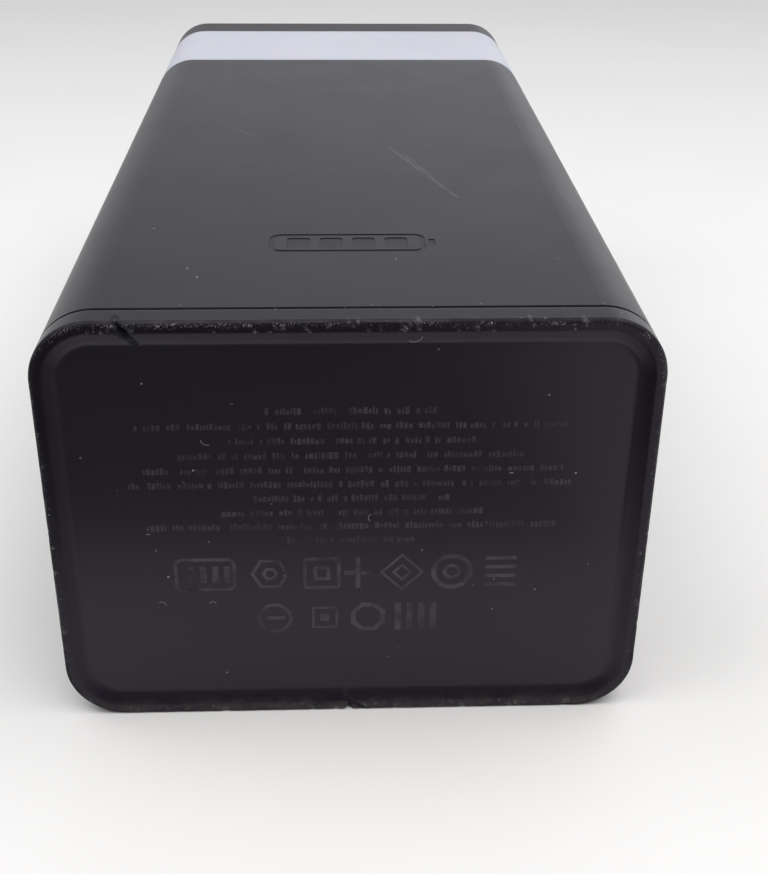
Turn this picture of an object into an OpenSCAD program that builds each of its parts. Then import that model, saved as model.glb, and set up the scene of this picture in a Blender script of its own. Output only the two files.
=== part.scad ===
// Large power bank with an area lamp, lying on one of its broad faces.
//
// Every piece is drawn standing on its foot: z runs along the length from the foot rim, and x and y
// are right and up for someone who looks at the control face. laid() then lays the pack down.

/* [Outline] */
// Width across the pack, over the four columns of cells
body_w = 84; // [84:1:96]
// Thickness of the pack, over the three rows of cells
body_t = 63.5; // [63.5:0.5:76]
// Radius of the four long corners
corner_r = 8.5; // [8:0.5:10]
// Wall of the sleeve and caps
wall = 2.2; // [1.8:0.1:2.2]
// Clearance between parts that plug together
fit_gap = 0.15; // [0.1:0.05:0.2]

/* [Lengths] */
// Visible side of the base cap
base_side = 4.2; // [4.2:0.2:5]
// Open seam between the base cap and the sleeve
seam_gap = 0.5; // [0.3:0.1:0.8]
// Length of the sleeve
sleeve_len = 147.5; // [147.5:0.5:155]
// Visible length of the lamp band
lamp_len = 32.6; // [32.6:0.2:40]
// Visible side of the top cap
top_side = 10.7; // [10.7:0.1:14]

/* [End faces] */
// Width of the raised rim around each end face
rim_w = 1.6; // [1.4:0.1:2]
// Width of the slope from the rim down to the recessed panel
slope_w = 2; // [1.5:0.1:2.4]
// Depth of the recessed panel below the rim
recess = 1; // [0.6:0.1:1]
// Fillet on the outside of the foot rim
foot_fillet = 0.5; // [0.4:0.1:1]
// Fillet on the outside of the top rim
top_fillet = 1; // [0.5:0.1:1.2]

/* [Cells] */
// Diameter of a wrapped cell
cell_d = 18.3; // [18.2:0.1:18.3]
// Length of a cell over its positive button
cell_len = 65.2; // [65:0.1:65.2]
// Distance between the axes of neighbouring cells
cell_pitch = 18.9; // [18.8:0.1:18.9]

/* [Control face] */
// Height of the port row below the middle
port_drop = 10; // [9:0.5:11]
// Sideways place of the two large sockets
usb_a_x = 23; // [22:0.5:23]
// Sideways place of the two small sockets
small_port_x = 7; // [6.5:0.5:8]
// Height of the display and the power button above the middle
upper_row = 9; // [8.5:0.5:9.5]
// Sideways place of the display
display_x = -9; // [-10:0.5:-9]
// Sideways place of the power button
button_x = 20; // [19.5:0.5:20.5]
// Diameter of the power button
button_d = 8.7; // [8:0.1:9]
// Travel of the power button
button_travel = 0.5; // [0.3:0.1:0.6]

/* [Hidden] */
$fn = 64;
layers = ["lower", "upper"];
poles = ["negative", "positive"];
columns = 4;
rows = 3;
cells_per_layer = columns * rows;

// Shell colours
shell_black = [0.055, 0.055, 0.06];
inlay_black = [0.02, 0.02, 0.024];
lamp_white = [0.86, 0.87, 0.93];
core_white = [0.9, 0.9, 0.88];

// Heights along the length
sleeve_z = base_side + seam_gap;
lamp_z = sleeve_z + sleeve_len;
top_z = lamp_z + lamp_len;
length = top_z + top_side;
edge_break = 0.12;
eps = 0.01;

// Base cap
panel_t = 2.2;
panel_in = recess + panel_t;
spigot_t = 1.1;
spigot_u = wall + fit_gap;
spigot_z = 12;
hook_w = 10;
hook_out = 0.65;
hook_z = 8.6;
hook_h = 2;
hook_depth = 0.9;

// Cell pack
strip_t = 0.3;
stack_gap = 0.1;
sheet_t = 0.8;
pad_t = 3;
pad_z = panel_in + stack_gap;
lower_z = pad_z + pad_t + 2 * stack_gap + strip_t;
sheet_z = lower_z + cell_len + 2 * stack_gap + strip_t;
upper_z = sheet_z + sheet_t + 2 * stack_gap + strip_t;
pack_top = upper_z + cell_len + 2 * stack_gap + strip_t;
holder_t = 8;
holder_inset = 7.5;
lead_r = 1;
lead_y = rows * cell_pitch / 2 - 1.8;
pcb_t = 1.6;
guard_z = pack_top + sheet_t + stack_gap;

// Ledge that carries the lamp core inside the sleeve
ledge_z = lamp_z - 5.2;
ledge_u = 5.2;
ledge_t = 1.6;
boss_r = 2.5;
boss_at = [body_w / 2 - 6.8, body_t / 2 - 6.8];
boss_h = 6;

// Lamp head
core_w = 60;
core_t = 40;
core_wall = 1.6;
core_z = ledge_z + 0.1;
flange_t = 2;
tray_z = top_z - 8.2;
tray_t = 1.6;
standoff_h = 1;
post_at = [25, 15];
board_z = tray_z + tray_t + standoff_h;
board_top = board_z + pcb_t;
lamp_wall = 2.4;
tongue_t = 1.5;
tongue_h = 3;
led_board_t = 1;
led_board_gap = 0.05;
led_board_h = 19;
led_board_z = core_z + flange_t + 5.3;

// Control face
inlay_t = 1.2;
inlay_w = body_w - 18.4;
inlay_h = body_t - 18.4;
face_z = length - recess;
plate_t = 2;
plate_z = face_z - inlay_t - plate_t;
mouth_z = face_z - 0.2;
port_h = mouth_z - board_top;
plunger_top = board_top + 5.7;
plunger_foot = board_top + 3.1;
plunger_r = 1.72;
button_gap = 0.3;
display_at = [display_x, upper_row];
button_at = [button_x, upper_row];
flange_r = button_d / 2 + 0.95;
collar_r = flange_r + button_gap;
collar_t = 1.2;
collar_foot = board_top + 1.5;
screw_r = 0.95;
screw_len = 8;
screw_head_r = 1.9;
screw_head_h = 1.3;
pilot_r = 1;

// ---- Helpers ----

// Lays the standing pack on a broad face, with the middle of that face's footprint at the origin.
module laid() {
    translate([0, -length / 2, body_t / 2]) rotate([90, 0, 180]) children();
}

// Rounded rectangle with true arcs.
module rounded(w, h, r) {
    square([w - 2 * r, h], center = true);
    square([w, h - 2 * r], center = true);
    for (x = [-1, 1], y = [-1, 1]) translate([x * (w / 2 - r), y * (h / 2 - r)]) circle(r);
}

// Block with rounded vertical edges between two heights.
module block(w, h, r, z0, z1) {
    translate([0, 0, z0]) linear_extrude(z1 - z0) rounded(w, h, r);
}

// The pack's own outline, u inwards from its surface, between two heights.
module section(u, z0, z1) {
    block(body_w - 2 * u, body_t - 2 * u, corner_r - u, z0, z1);
}

// Box centred on x and y, standing on z0.
module brick(w, h, z0, z1) {
    translate([-w / 2, -h / 2, z0]) cube([w, h, z1 - z0]);
}

// Outline of a wall's cross-section. Points are [depth u below the outer surface, height z].
module wall_outline(points) {
    polygon([for (p = points) [corner_r - p[0], p[1]]]);
}

// Sweeps such a cross-section all the way round the pack.
module around() {
    for (i = [0:3]) {
        across = i % 2 == 0 ? body_w : body_t;
        along = i % 2 == 0 ? body_t : body_w;
        rotate(90 * i) translate([across / 2 - corner_r, along / 2 - corner_r, 0]) {
            rotate([90, 0, 0]) linear_extrude(along - 2 * corner_r) children();
            rotate_extrude(angle = 90) children();
        }
    }
}

// Places children at the four mirrored positions of a point.
module at_corners(p) {
    for (x = [-1, 1], y = [-1, 1]) translate([x * p[0], y * p[1], 0]) children();
}

// Children face outwards from the middle of each side, at depth u. Long sides carry two.
module on_sides(u) {
    for (x = [-20, 20], a = [0, 180]) rotate(a) translate([x, body_t / 2 - u, 0]) rotate(90) children();
    for (a = [0, 180]) rotate(a) translate([body_w / 2 - u, 0, 0]) children();
}

// Plain cylinder between two heights.
module rod(r, z0, z1) {
    translate([0, 0, z0]) cylinder(r = r, h = z1 - z0);
}

function strip_z(layer, pole) =
    pole == "negative" ? layer_z(layer) - stack_gap - strip_t : layer_z(layer) + cell_len + stack_gap;
function cell_x(i) = ((i - 1) % columns - (columns - 1) / 2) * cell_pitch;
function cell_y(i) = (floor((i - 1) / columns) - (rows - 1) / 2) * cell_pitch;
function layer_z(layer) = layer == "lower" ? lower_z : upper_z;

// ---- Base cap, foam and sleeve ----

// Rim, slope, side wall, seam ledge and the spigot that plugs into the sleeve.
module base_cap() {
    plate_u = spigot_u + spigot_t + 1;
    color(shell_black) {
        around() {
            wall_outline([
                [foot_fillet, 0], [rim_w, 0], [rim_w + slope_w, recess], [plate_u, recess],
                [plate_u, panel_in], [spigot_u + spigot_t, panel_in], [spigot_u + spigot_t, spigot_z],
                [spigot_u, spigot_z], [spigot_u, base_side], [edge_break, base_side],
                [0, base_side - edge_break], [0, foot_fillet]
            ]);
            translate([corner_r - foot_fillet, foot_fillet]) circle(foot_fillet);
        }
        section(plate_u - 0.2, recess, panel_in);
        on_sides(spigot_u) snap_hook();
    }
}

// Ramped barb on the base cap's spigot, facing +x.
module snap_hook() {
    translate([0, hook_w / 2, 0]) rotate([90, 0, 0]) linear_extrude(hook_w)
        polygon([
            [-0.5, hook_z], [hook_out, hook_z], [hook_out, hook_z + 0.6], [0, hook_z + hook_h],
            [-0.5, hook_z + hook_h]
        ]);
}

module base_foam_pad() {
    inset = spigot_u + spigot_t + 0.3;
    color([0.13, 0.13, 0.14]) section(inset, pad_z, pad_z + pad_t);
}

// One-piece tube with a ledge near its lamp end and four screw bosses under the ledge.
module body_sleeve() {
    color(shell_black) difference() {
        union() {
            around() wall_outline([
                [edge_break, sleeve_z], [wall, sleeve_z], [wall, ledge_z - ledge_t - ledge_u + wall],
                [ledge_u, ledge_z - ledge_t], [ledge_u, ledge_z], [wall, ledge_z], [wall, lamp_z],
                [edge_break, lamp_z], [0, lamp_z - edge_break], [0, sleeve_z + edge_break]
            ]);
            at_corners(boss_at) rod(boss_r, ledge_z - boss_h, ledge_z);
        }
        at_corners(boss_at) rod(pilot_r, ledge_z - boss_h - 1, ledge_z + 1);
        on_sides(wall) snap_pocket();
        battery_emblem();
    }
}

// Pocket in the sleeve's inner face for one snap hook, facing +x.
module snap_pocket() {
    play = 0.2;
    wide = hook_w + 2 * play;
    translate([-1, -wide / 2, hook_z - play]) cube([1 + hook_depth, wide, hook_h + 2 * play]);
}

// Sunk outline of a plain battery with four charge bars, on the broad face that lies upwards.
module battery_emblem() {
    long = 23;
    high = 7.6;
    line = 0.8;
    depth = 0.1;
    bar = 3.4;
    translate([0, body_t / 2 - depth, 29.3]) rotate([-90, 0, 0]) linear_extrude(depth + 1) {
        difference() {
            rounded(long, high, 1.8);
            rounded(long - 2 * line, high - 2 * line, 1);
        }
        for (i = [-1.5:1.5]) translate([i * (bar + 1.4), 0]) rounded(bar, high - 4 * line, 0.6);
        translate([-long / 2 - 1, 0]) rounded(1, 3, 0.4);
    }
}

// ---- Cell pack ----

// Wrapped round cell: crimp groove, shoulder, vent step and positive button.
module cell(layer, i) {
    r = cell_d / 2;
    base = layer_z(layer);
    top = base + cell_len;
    color([0.05, 0.35, 0.3]) translate([cell_x(i), cell_y(i), 0]) rotate_extrude() polygon([
        [0, base], [r - 0.6, base], [r, base + 0.6], [r, top - 4.6], [r - 0.5, top - 4.1],
        [r - 0.5, top - 3.5], [r, top - 3], [r, top - 1.4], [r - 0.6, top - 0.8], [6.4, top - 0.8],
        [6.4, top - 1.3], [3.2, top - 1.3], [2.9, top], [0, top]
    ]);
}

// Moulded grid that spaces twelve cells, notched for the two long leads.
module cell_holder(i) {
    base = layer_z(i > 2 ? "upper" : "lower");
    z0 = i % 2 == 1 ? base + holder_inset : base + cell_len - holder_inset - holder_t;
    play = 0.05;
    color([0.1, 0.1, 0.11]) difference() {
        section(wall + 0.4, z0, z0 + holder_t);
        for (k = [1:cells_per_layer])
            translate([cell_x(k), cell_y(k), 0]) rod(cell_d / 2 + play, z0 - 1, z0 + holder_t + 1);
        for (a = [0, 180]) rotate(a) translate([0, body_t / 2 - wall, 0])
            brick(2 * lead_r + 1.2, 2 * (body_t / 2 - wall - lead_y + lead_r + 0.6), z0 - 1, z0 + holder_t + 1);
    }
}

// Nickel ladder that joins one end of a layer's cells, with a weld slot over each cell and a lead tab.
module nickel_strip(layer, pole) {
    bar = 8;
    side = pole == "negative" ? 1 : -1;
    tab_w = 4;
    tab_end = lead_y - lead_r - 0.05;
    color([0.72, 0.71, 0.68]) translate([0, 0, strip_z(layer, pole)]) linear_extrude(strip_t) difference() {
        union() {
            for (y = [-1:1]) translate([0, y * cell_pitch]) square([3 * cell_pitch + bar, bar], center = true);
            for (x = [-1.5:1.5]) translate([x * cell_pitch, 0]) square([bar, 2 * cell_pitch + bar], center = true);
            translate([-tab_w / 2, side > 0 ? 0 : -tab_end]) square([tab_w, tab_end]);
        }
        for (k = [1:cells_per_layer]) translate([cell_x(k), cell_y(k)]) square([0.8, 4.6], center = true);
    }
}

// Paper between the two layers, and on top of the upper one.
module insulator_sheets() {
    notch = 2 * lead_r + 1.2;
    color([0.62, 0.66, 0.5]) for (z = [sheet_z, pack_top]) difference() {
        section(wall + 0.9, z, z + sheet_t);
        for (a = [0, 180]) rotate(a) translate([0, body_t / 2 - wall, 0])
            brick(notch, 2 * (body_t / 2 - wall - lead_y + lead_r + 0.6), z - 1, z + sheet_t + 1);
    }
}

module protection_board() {
    color([0.03, 0.22, 0.12]) difference() {
        block(44, 26, 1.5, guard_z, guard_z + pcb_t);
        at_corners([19.5, 10.5]) rod(1.2, guard_z - 1, guard_z + pcb_t + 1);
    }
}

// Points of a ring round a route point, square to the route's direction there.
function unit(v) = v / norm(v);
function heading(route, i) = unit(route[min(i + 1, len(route) - 1)] - route[max(i - 1, 0)]);
function ring(centre, dir, r, sides) =
    let (a = unit(cross(dir, [0.31, 0.95, 0.04])), b = cross(dir, a))
    [for (k = [0:sides - 1]) centre + r * (cos(360 * k / sides) * a + sin(360 * k / sides) * b)];

// Round wire along a route.
module wire(route, r) {
    sides = 8;
    last = len(route) - 1;
    points = [for (i = [0:last]) each ring(route[i], heading(route, i), r, sides)];
    sleeve = [
        for (i = [0:last - 1], k = [0:sides - 1])
            [i * sides + k, (i + 1) * sides + k, (i + 1) * sides + (k + 1) % sides, i * sides + (k + 1) % sides]
    ];
    start = [for (k = [0:sides - 1]) k];
    end = [for (k = [sides - 1:-1:0]) last * sides + k];
    polyhedron(points, concat(sleeve, [start, end]));
}

// Two leads run up the pack from the nickel strips, and two more on through the lamp core.
module battery_leads() {
    pad_top = guard_z + pcb_t + eps;
    for (side = [1, -1]) {
        from = strip_z("lower", side > 0 ? "negative" : "positive");
        color(side > 0 ? [0.05, 0.05, 0.05] : [0.6, 0.03, 0.03]) {
            wire([
                [0, side * lead_y, from], [0, side * lead_y, from + 8], [0, side * lead_y, pack_top - 30],
                [0, side * lead_y, pack_top - 2], [0, side * (lead_y - 0.3), pack_top + 2],
                [0, side * (lead_y - 2.5), pack_top + 4.6], [0, side * (lead_y - 6.5), pack_top + 5.4],
                [0, side * (lead_y - 11), pack_top + 5.2], [0, side * (lead_y - 13.6), pack_top + 4.6],
                [0, side * (lead_y - 14.6), pad_top + 1], [0, side * (lead_y - 14.6), pad_top]
            ], lead_r);
            wire([
                [side * 18, 0, pad_top], [side * 18, 0, pad_top + 2.4], [side * 17.3, 1.8, pad_top + 7],
                [side * 15, 5, pad_top + 12], [side * 11, 7.4, pad_top + 18], [side * 7.6, 8, pad_top + 24],
                [side * 6.2, 8, pad_top + 29], [side * 6, 8, pad_top + 33], [side * 6, 8, board_z - eps]
            ], lead_r);
        }
    }
}

// ---- Lamp head ----

// White spool that closes the sleeve, carries the lamp boards and holds the tray's screw posts.
module lamp_core() {
    color(core_white) difference() {
        union() {
            section(wall + 0.3, core_z, core_z + flange_t);
            block(core_w, core_t, 4, core_z, tray_z - 0.1);
        }
        difference() {
            block(core_w - 2 * core_wall, core_t - 2 * core_wall, 2.4, core_z - 1, tray_z + 1);
            at_corners(post_at) {
                rod(boss_r, tray_z - 14, tray_z + 1);
                translate([0, 0, tray_z - 14]) brick(1.2, 12, -2, 15);
            }
        }
        at_corners(post_at) rod(pilot_r, tray_z - 6, tray_z + 2);
        at_corners(boss_at) rod(screw_r + 0.3, core_z - 1, core_z + flange_t + 1);
    }
}

// Four boards on the outside of the core: two long, two short.
module lamp_boards() {
    z1 = led_board_z + led_board_h;
    out = led_board_gap + led_board_t / 2;
    color([0.93, 0.93, 0.92]) {
        for (y = [-1, 1]) translate([0, y * (core_t / 2 + out), 0])
            brick(core_w - 8, led_board_t, led_board_z, z1);
        for (x = [-1, 1]) translate([x * (core_w / 2 + out), 0, 0])
            brick(led_board_t, core_t - 8, led_board_z, z1);
    }
}

// Surface-mount lamps in two rows on every board.
module lamp_leds() {
    chip = [3.5, 0.7, 2.8];
    out = led_board_gap + led_board_t + eps + chip[1] / 2;
    color([0.95, 0.85, 0.4]) for (row = [0.28, 0.72]) {
        z = led_board_z + row * led_board_h;
        for (y = [-1, 1], x = [-2.5:2.5]) translate([x * 8.4, y * (core_t / 2 + out), 0])
            brick(chip[0], chip[1], z - chip[2] / 2, z + chip[2] / 2);
        for (x = [-1, 1], y = [-1.5:1.5]) translate([x * (core_w / 2 + out), y * 7.6, 0])
            brick(chip[1], chip[0], z - chip[2] / 2, z + chip[2] / 2);
    }
}

// Milky band, flush with the shell, with a tongue at each end.
module lamp_diffuser() {
    inner = wall + fit_gap;
    color(lamp_white) around() wall_outline([
        [0, lamp_z + 0.15], [0.15, lamp_z], [inner, lamp_z], [inner, lamp_z - tongue_h + 0.2],
        [inner + tongue_t, lamp_z - tongue_h + 0.2], [inner + tongue_t, lamp_z + 1.5],
        [lamp_wall, lamp_z + 3], [lamp_wall, top_z - 3], [inner + tongue_t, top_z - 1.5],
        [inner + tongue_t, top_z + tongue_h], [inner, top_z + tongue_h], [inner, top_z],
        [0.15, top_z], [0, top_z - 0.15]
    ]);
}

// Plate over the lamp core: carries the main board and catches the top cap's arms.
module board_tray() {
    color(core_white) difference() {
        union() {
            section(lamp_wall + 0.3, tray_z, tray_z + tray_t);
            at_corners(post_at) rod(boss_r, tray_z, board_z - eps);
        }
        at_corners(post_at) rod(screw_r + 0.3, tray_z - 1, board_z + 1);
        block(40, 22, 2, tray_z - 1, tray_z + tray_t + 1);
        arm_places() translate([-0.4, 0, 0]) brick(2.6, 9, tray_z - 1, tray_z + tray_t + 1);
    }
}

// Children face outwards at the middle of each of the top cap's four snap arms.
module arm_places() {
    for (a = [0, 180]) rotate(a) {
        translate([body_w / 2 - 6.3, 0, 0]) children();
        rotate(90) translate([body_t / 2 - 6.3, 0, 0]) children();
    }
}

module main_board() {
    color([0.02, 0.02, 0.025]) difference() {
        block(64, 46, 2, board_z, board_top);
        at_corners(post_at) rod(screw_r + 0.25, board_z - 1, board_top + 1);
    }
}

// Shielded inductors that hang below the main board, through the tray's window.
module power_inductors() {
    color([0.16, 0.16, 0.17]) for (x = [-12, 0, 12]) translate([x, 0, 0]) difference() {
        block(7, 7, 1.2, board_z - 4.6, board_z - eps);
        rod(2.4, board_z - 5, board_z - 4.3);
    }
}

// Packages on both boards: switching chips, controller, sense resistors and ceramic capacitors.
module circuit_chips() {
    low = guard_z + pcb_t + eps;
    high = board_top + eps;
    color([0.08, 0.08, 0.085]) {
        for (x = [-12, -4, 4, 12]) translate([x, -7, 0]) brick(4.9, 3.9, low, low + 1.5);
        for (x = [-12, 12]) translate([x, 6, 0]) brick(6.3, 3.2, low, low + 0.6);
        translate([-6, -2, 0]) brick(3, 2.8, low, low + 1.1);
        translate([0, -1, 0]) brick(6, 6, high, high + 0.9);
        for (x = [-13, 12]) translate([x, -1, 0]) brick(5, 5, high, high + 0.9);
        for (x = [-29, -26, 26, 29]) translate([x, 0, 0]) brick(1.6, 3.2, high, high + 1.6);
    }
}

// Cross-recessed screws: four hold the core to the ledge, four hold board and tray to the core.
module screws() {
    color([0.5, 0.5, 0.52]) {
        at_corners(boss_at) screw(core_z + flange_t + eps);
        at_corners(post_at) screw(board_top + eps);
    }
}

module screw(seat) {
    difference() {
        union() {
            rod(screw_head_r, seat, seat + screw_head_h);
            rod(screw_r, seat - screw_len, seat + eps);
        }
        for (a = [0, 90]) rotate(a) brick(2.2, 0.5, seat + 0.5, seat + screw_head_h + 1);
        translate([0, 0, seat - screw_len - eps]) difference() {
            rod(screw_r + 1, -1, 0.6);
            cylinder(r1 = screw_r - 0.6, r2 = screw_r, h = 0.6 + eps);
        }
    }
}

// ---- Sockets ----

module usb_a_shell(side) {
    sheet = 0.3;
    w = 13.1;
    h = 5.7;
    color([0.75, 0.75, 0.76]) translate([side * usb_a_x, -port_drop, 0]) difference() {
        block(w, h, 0.5, board_top + eps, mouth_z);
        block(w - 2 * sheet, h - 2 * sheet, 0.25, board_top - 1, mouth_z + 1);
        for (x = [-1, 1], y = [-1, 1]) translate([x * 3, y * h / 2, 0])
            brick(1.6, 1, mouth_z - 7.5, mouth_z - 3.5);
    }
}

// Moulding in each large socket: a floor and the contact tongue.
module usb_a_tongues() {
    color([0.9, 0.9, 0.9]) for (side = [-1, 1]) translate([side * usb_a_x, -port_drop, 0]) {
        brick(12.3, 4.9, board_top + eps, board_top + 4);
        translate([0, 1.05, 0]) brick(11.1, 1.84, board_top + 4 - eps, mouth_z - 1.2);
    }
}

module usb_c_shell() {
    sheet = 0.3;
    color([0.72, 0.72, 0.73]) translate([-small_port_x, -port_drop, 0]) difference() {
        block(8.94, 3.26, 1.6, board_top + eps, mouth_z);
        block(8.94 - 2 * sheet, 3.26 - 2 * sheet, 1.3, board_top - 1, mouth_z + 1);
    }
}

module usb_c_tongue() {
    color([0.05, 0.05, 0.05]) translate([-small_port_x, -port_drop, 0]) {
        block(8.2, 2.5, 1.2, board_top + eps, mouth_z - 6.2);
        brick(6.7, 0.7, mouth_z - 6.3, mouth_z - 0.9);
    }
}

// Outline of the micro socket: square shoulders above, drawn in below.
module micro_outline(w, h, cut) {
    polygon([
        [-w / 2, h / 2], [w / 2, h / 2], [w / 2, -h / 2 + cut], [w / 2 - cut, -h / 2],
        [-w / 2 + cut, -h / 2], [-w / 2, -h / 2 + cut]
    ]);
}

module micro_usb_shell() {
    color([0.75, 0.75, 0.76]) translate([small_port_x, -port_drop, board_top + eps]) difference() {
        linear_extrude(port_h - eps) micro_outline(7.5, 2.8, 1.1);
        translate([0, 0, -1]) linear_extrude(port_h + 2) micro_outline(7, 2.3, 0.95);
    }
}

module micro_usb_tongue() {
    color([0.05, 0.05, 0.05]) translate([small_port_x, -port_drop, board_top + eps]) {
        linear_extrude(port_h - 5.5) micro_outline(6.9, 2.2, 0.95);
        translate([0, 0.45, 0]) brick(3.8, 0.6, port_h - 5.6, port_h - 0.8);
    }
}

// ---- Display, switch, control face ----

// One bar of a seven-bar digit, lying along x.
module digit_bar(long, thick) {
    polygon([
        [-long / 2, 0], [-long / 2 + thick / 2, thick / 2], [long / 2 - thick / 2, thick / 2], [long / 2, 0],
        [long / 2 - thick / 2, -thick / 2], [-long / 2 + thick / 2, -thick / 2]
    ]);
}

module digit(across_too) {
    bar = 3.4;
    thick = 0.8;
    if (across_too) for (y = [-1:1]) translate([0, y * (bar + 0.2)]) digit_bar(bar, thick);
    for (x = across_too ? [-1, 1] : [1], y = [-1, 1])
        translate([x * (bar + 0.2) / 2, y * (bar + 0.2) / 2]) rotate(90) digit_bar(bar, thick);
}

// Three-place digit display on two rows of pins, its lit face in the top cap's window.
module display_module() {
    face = face_z - inlay_t - 0.3;
    foot = plate_z - 0.2;
    color([0.07, 0.07, 0.075]) translate([display_at[0], display_at[1], 0]) difference() {
        union() {
            brick(25, 13, foot - 4.9, foot);
            brick(21.4, 10.4, foot - eps, face);
            for (x = [-2:2], y = [-1, 1]) translate([x * 2.54, y * 5, 0])
                brick(0.5, 0.5, board_top + eps, foot - 4.8);
        }
        translate([0, 0, face - 0.2]) linear_extrude(1) for (i = [-1:1]) translate([i * 6.2, 0]) digit(i >= 0);
    }
}

module tact_switch() {
    bore_r = plunger_r + 0.08;
    top = board_top + 3.6;
    color([0.12, 0.12, 0.12]) translate([button_at[0], button_at[1], 0]) difference() {
        union() {
            block(6, 6, 0.6, board_top + eps, top);
            at_corners([3.3, 2.2]) brick(1.4, 0.7, board_top + eps, board_top + 0.6);
        }
        rod(bore_r, plunger_foot - button_travel - 0.2, top + 1);
    }
}

module switch_plunger() {
    color([0.85, 0.85, 0.83]) translate([button_at[0], button_at[1], 0])
        rod(plunger_r, plunger_foot, plunger_top);
}

// Far-end cap: rim, recessed face with a pocket for the inlay, port openings and four snap arms.
module top_cap() {
    plate_u = 6;
    color(shell_black) difference() {
        union() {
            around() {
                wall_outline([
                    [top_fillet, length], [rim_w, length], [rim_w + slope_w, face_z], [plate_u, face_z],
                    [plate_u, plate_z], [wall, plate_z], [wall, top_z], [edge_break, top_z],
                    [0, top_z + edge_break], [0, length - top_fillet]
                ]);
                translate([corner_r - top_fillet, length - top_fillet]) circle(top_fillet);
            }
            section(plate_u - 0.2, plate_z, face_z);
            arm_places() snap_arm();
            button_collar();
        }
        block(inlay_w + 0.3, inlay_h + 0.3, 5.15, face_z - inlay_t, face_z + 1);
        face_openings(plate_z - 1, face_z + 1);
        translate([display_at[0], display_at[1], 0]) brick(22, 11, plate_z - 1, face_z);
    }
}

// Round guide behind the face that surrounds the button's flange, its stem and the switch.
module button_collar() {
    translate([button_at[0], button_at[1], 0]) difference() {
        rod(collar_r + collar_t, collar_foot, plate_z + 0.5);
        rod(collar_r, collar_foot - 1, plate_z);
    }
}

// Springy arm that reaches down through the tray, with an outward barb, facing +x.
module snap_arm() {
    thick = 1.4;
    foot = tray_z - 2;
    translate([-thick / 2, 4, 0]) rotate([90, 0, 0]) linear_extrude(8) polygon([
        [0, plate_z + 0.5], [0, foot], [thick, foot], [thick + 0.9, foot + 1.2], [thick + 0.9, foot + 1.8],
        [thick, foot + 1.8], [thick, plate_z + 0.5]
    ]);
}

// Cut-outs that the inlay and the cap's face share.
module face_openings(z0, z1) {
    for (side = [-1, 1]) translate([side * usb_a_x, -port_drop, 0]) block(13.6, 6.2, 0.6, z0, z1);
    translate([-small_port_x, -port_drop, 0]) block(9.4, 3.8, 1.8, z0, z1);
    translate([small_port_x, -port_drop, 0]) block(8, 3.3, 0.8, z0, z1);
    translate([button_at[0], button_at[1], 0]) rod(button_d / 2 + button_gap, z0, z1);
}

// Smoked inlay with its own pocket in the top cap.
module control_panel() {
    color(inlay_black) difference() {
        block(inlay_w, inlay_h, 5, face_z - inlay_t + 0.02, face_z);
        face_openings(face_z - inlay_t - 1, face_z + 1);
    }
}

// Dished round cap with a retaining flange and the stem that works the switch.
module power_button() {
    r = button_d / 2;
    top = face_z + 0.5;
    flange_top = plate_z - 0.2;
    dish_r = 40;
    dish_depth = 0.18;
    ease = 0.4;
    color(shell_black) translate([button_at[0], button_at[1], 0]) difference() {
        rotate_extrude() {
            polygon([
                [0, plunger_top], [1.5, plunger_top], [1.5, flange_top - 1.1], [flange_r, flange_top - 1.1],
                [flange_r, flange_top], [r, flange_top], [r, top - ease], [r - ease, top], [0, top]
            ]);
            translate([r - ease, top - ease]) circle(ease);
        }
        translate([0, 0, top + dish_r - dish_depth]) sphere(dish_r, $fn = 128);
    }
}

// ---- Nodes ----

laid() base_cap();
laid() base_foam_pad();
laid() body_sleeve();
for (layer = layers, i = [1:cells_per_layer])
    laid() cell(layer, i);
for (i = [1:4])
    laid() cell_holder(i);
for (layer = layers, pole = poles)
    laid() nickel_strip(layer, pole);
laid() insulator_sheets();
laid() protection_board();
laid() battery_leads();
laid() lamp_core();
laid() lamp_boards();
laid() lamp_leds();
laid() lamp_diffuser();
laid() board_tray();
laid() main_board();
laid() power_inductors();
laid() circuit_chips();
laid() screws();
laid() usb_a_shell(-1);  // usb_a_shell_left
laid() usb_a_shell(1);  // usb_a_shell_right
laid() usb_a_tongues();
laid() usb_c_shell();
laid() usb_c_tongue();
laid() micro_usb_shell();
laid() micro_usb_tongue();
laid() display_module();
laid() tact_switch();
laid() switch_plunger();
laid() top_cap();
laid() control_panel();
laid() power_button();
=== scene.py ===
import math
import random

import bmesh
import bpy
from mathutils import Matrix, Vector, noise


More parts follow.
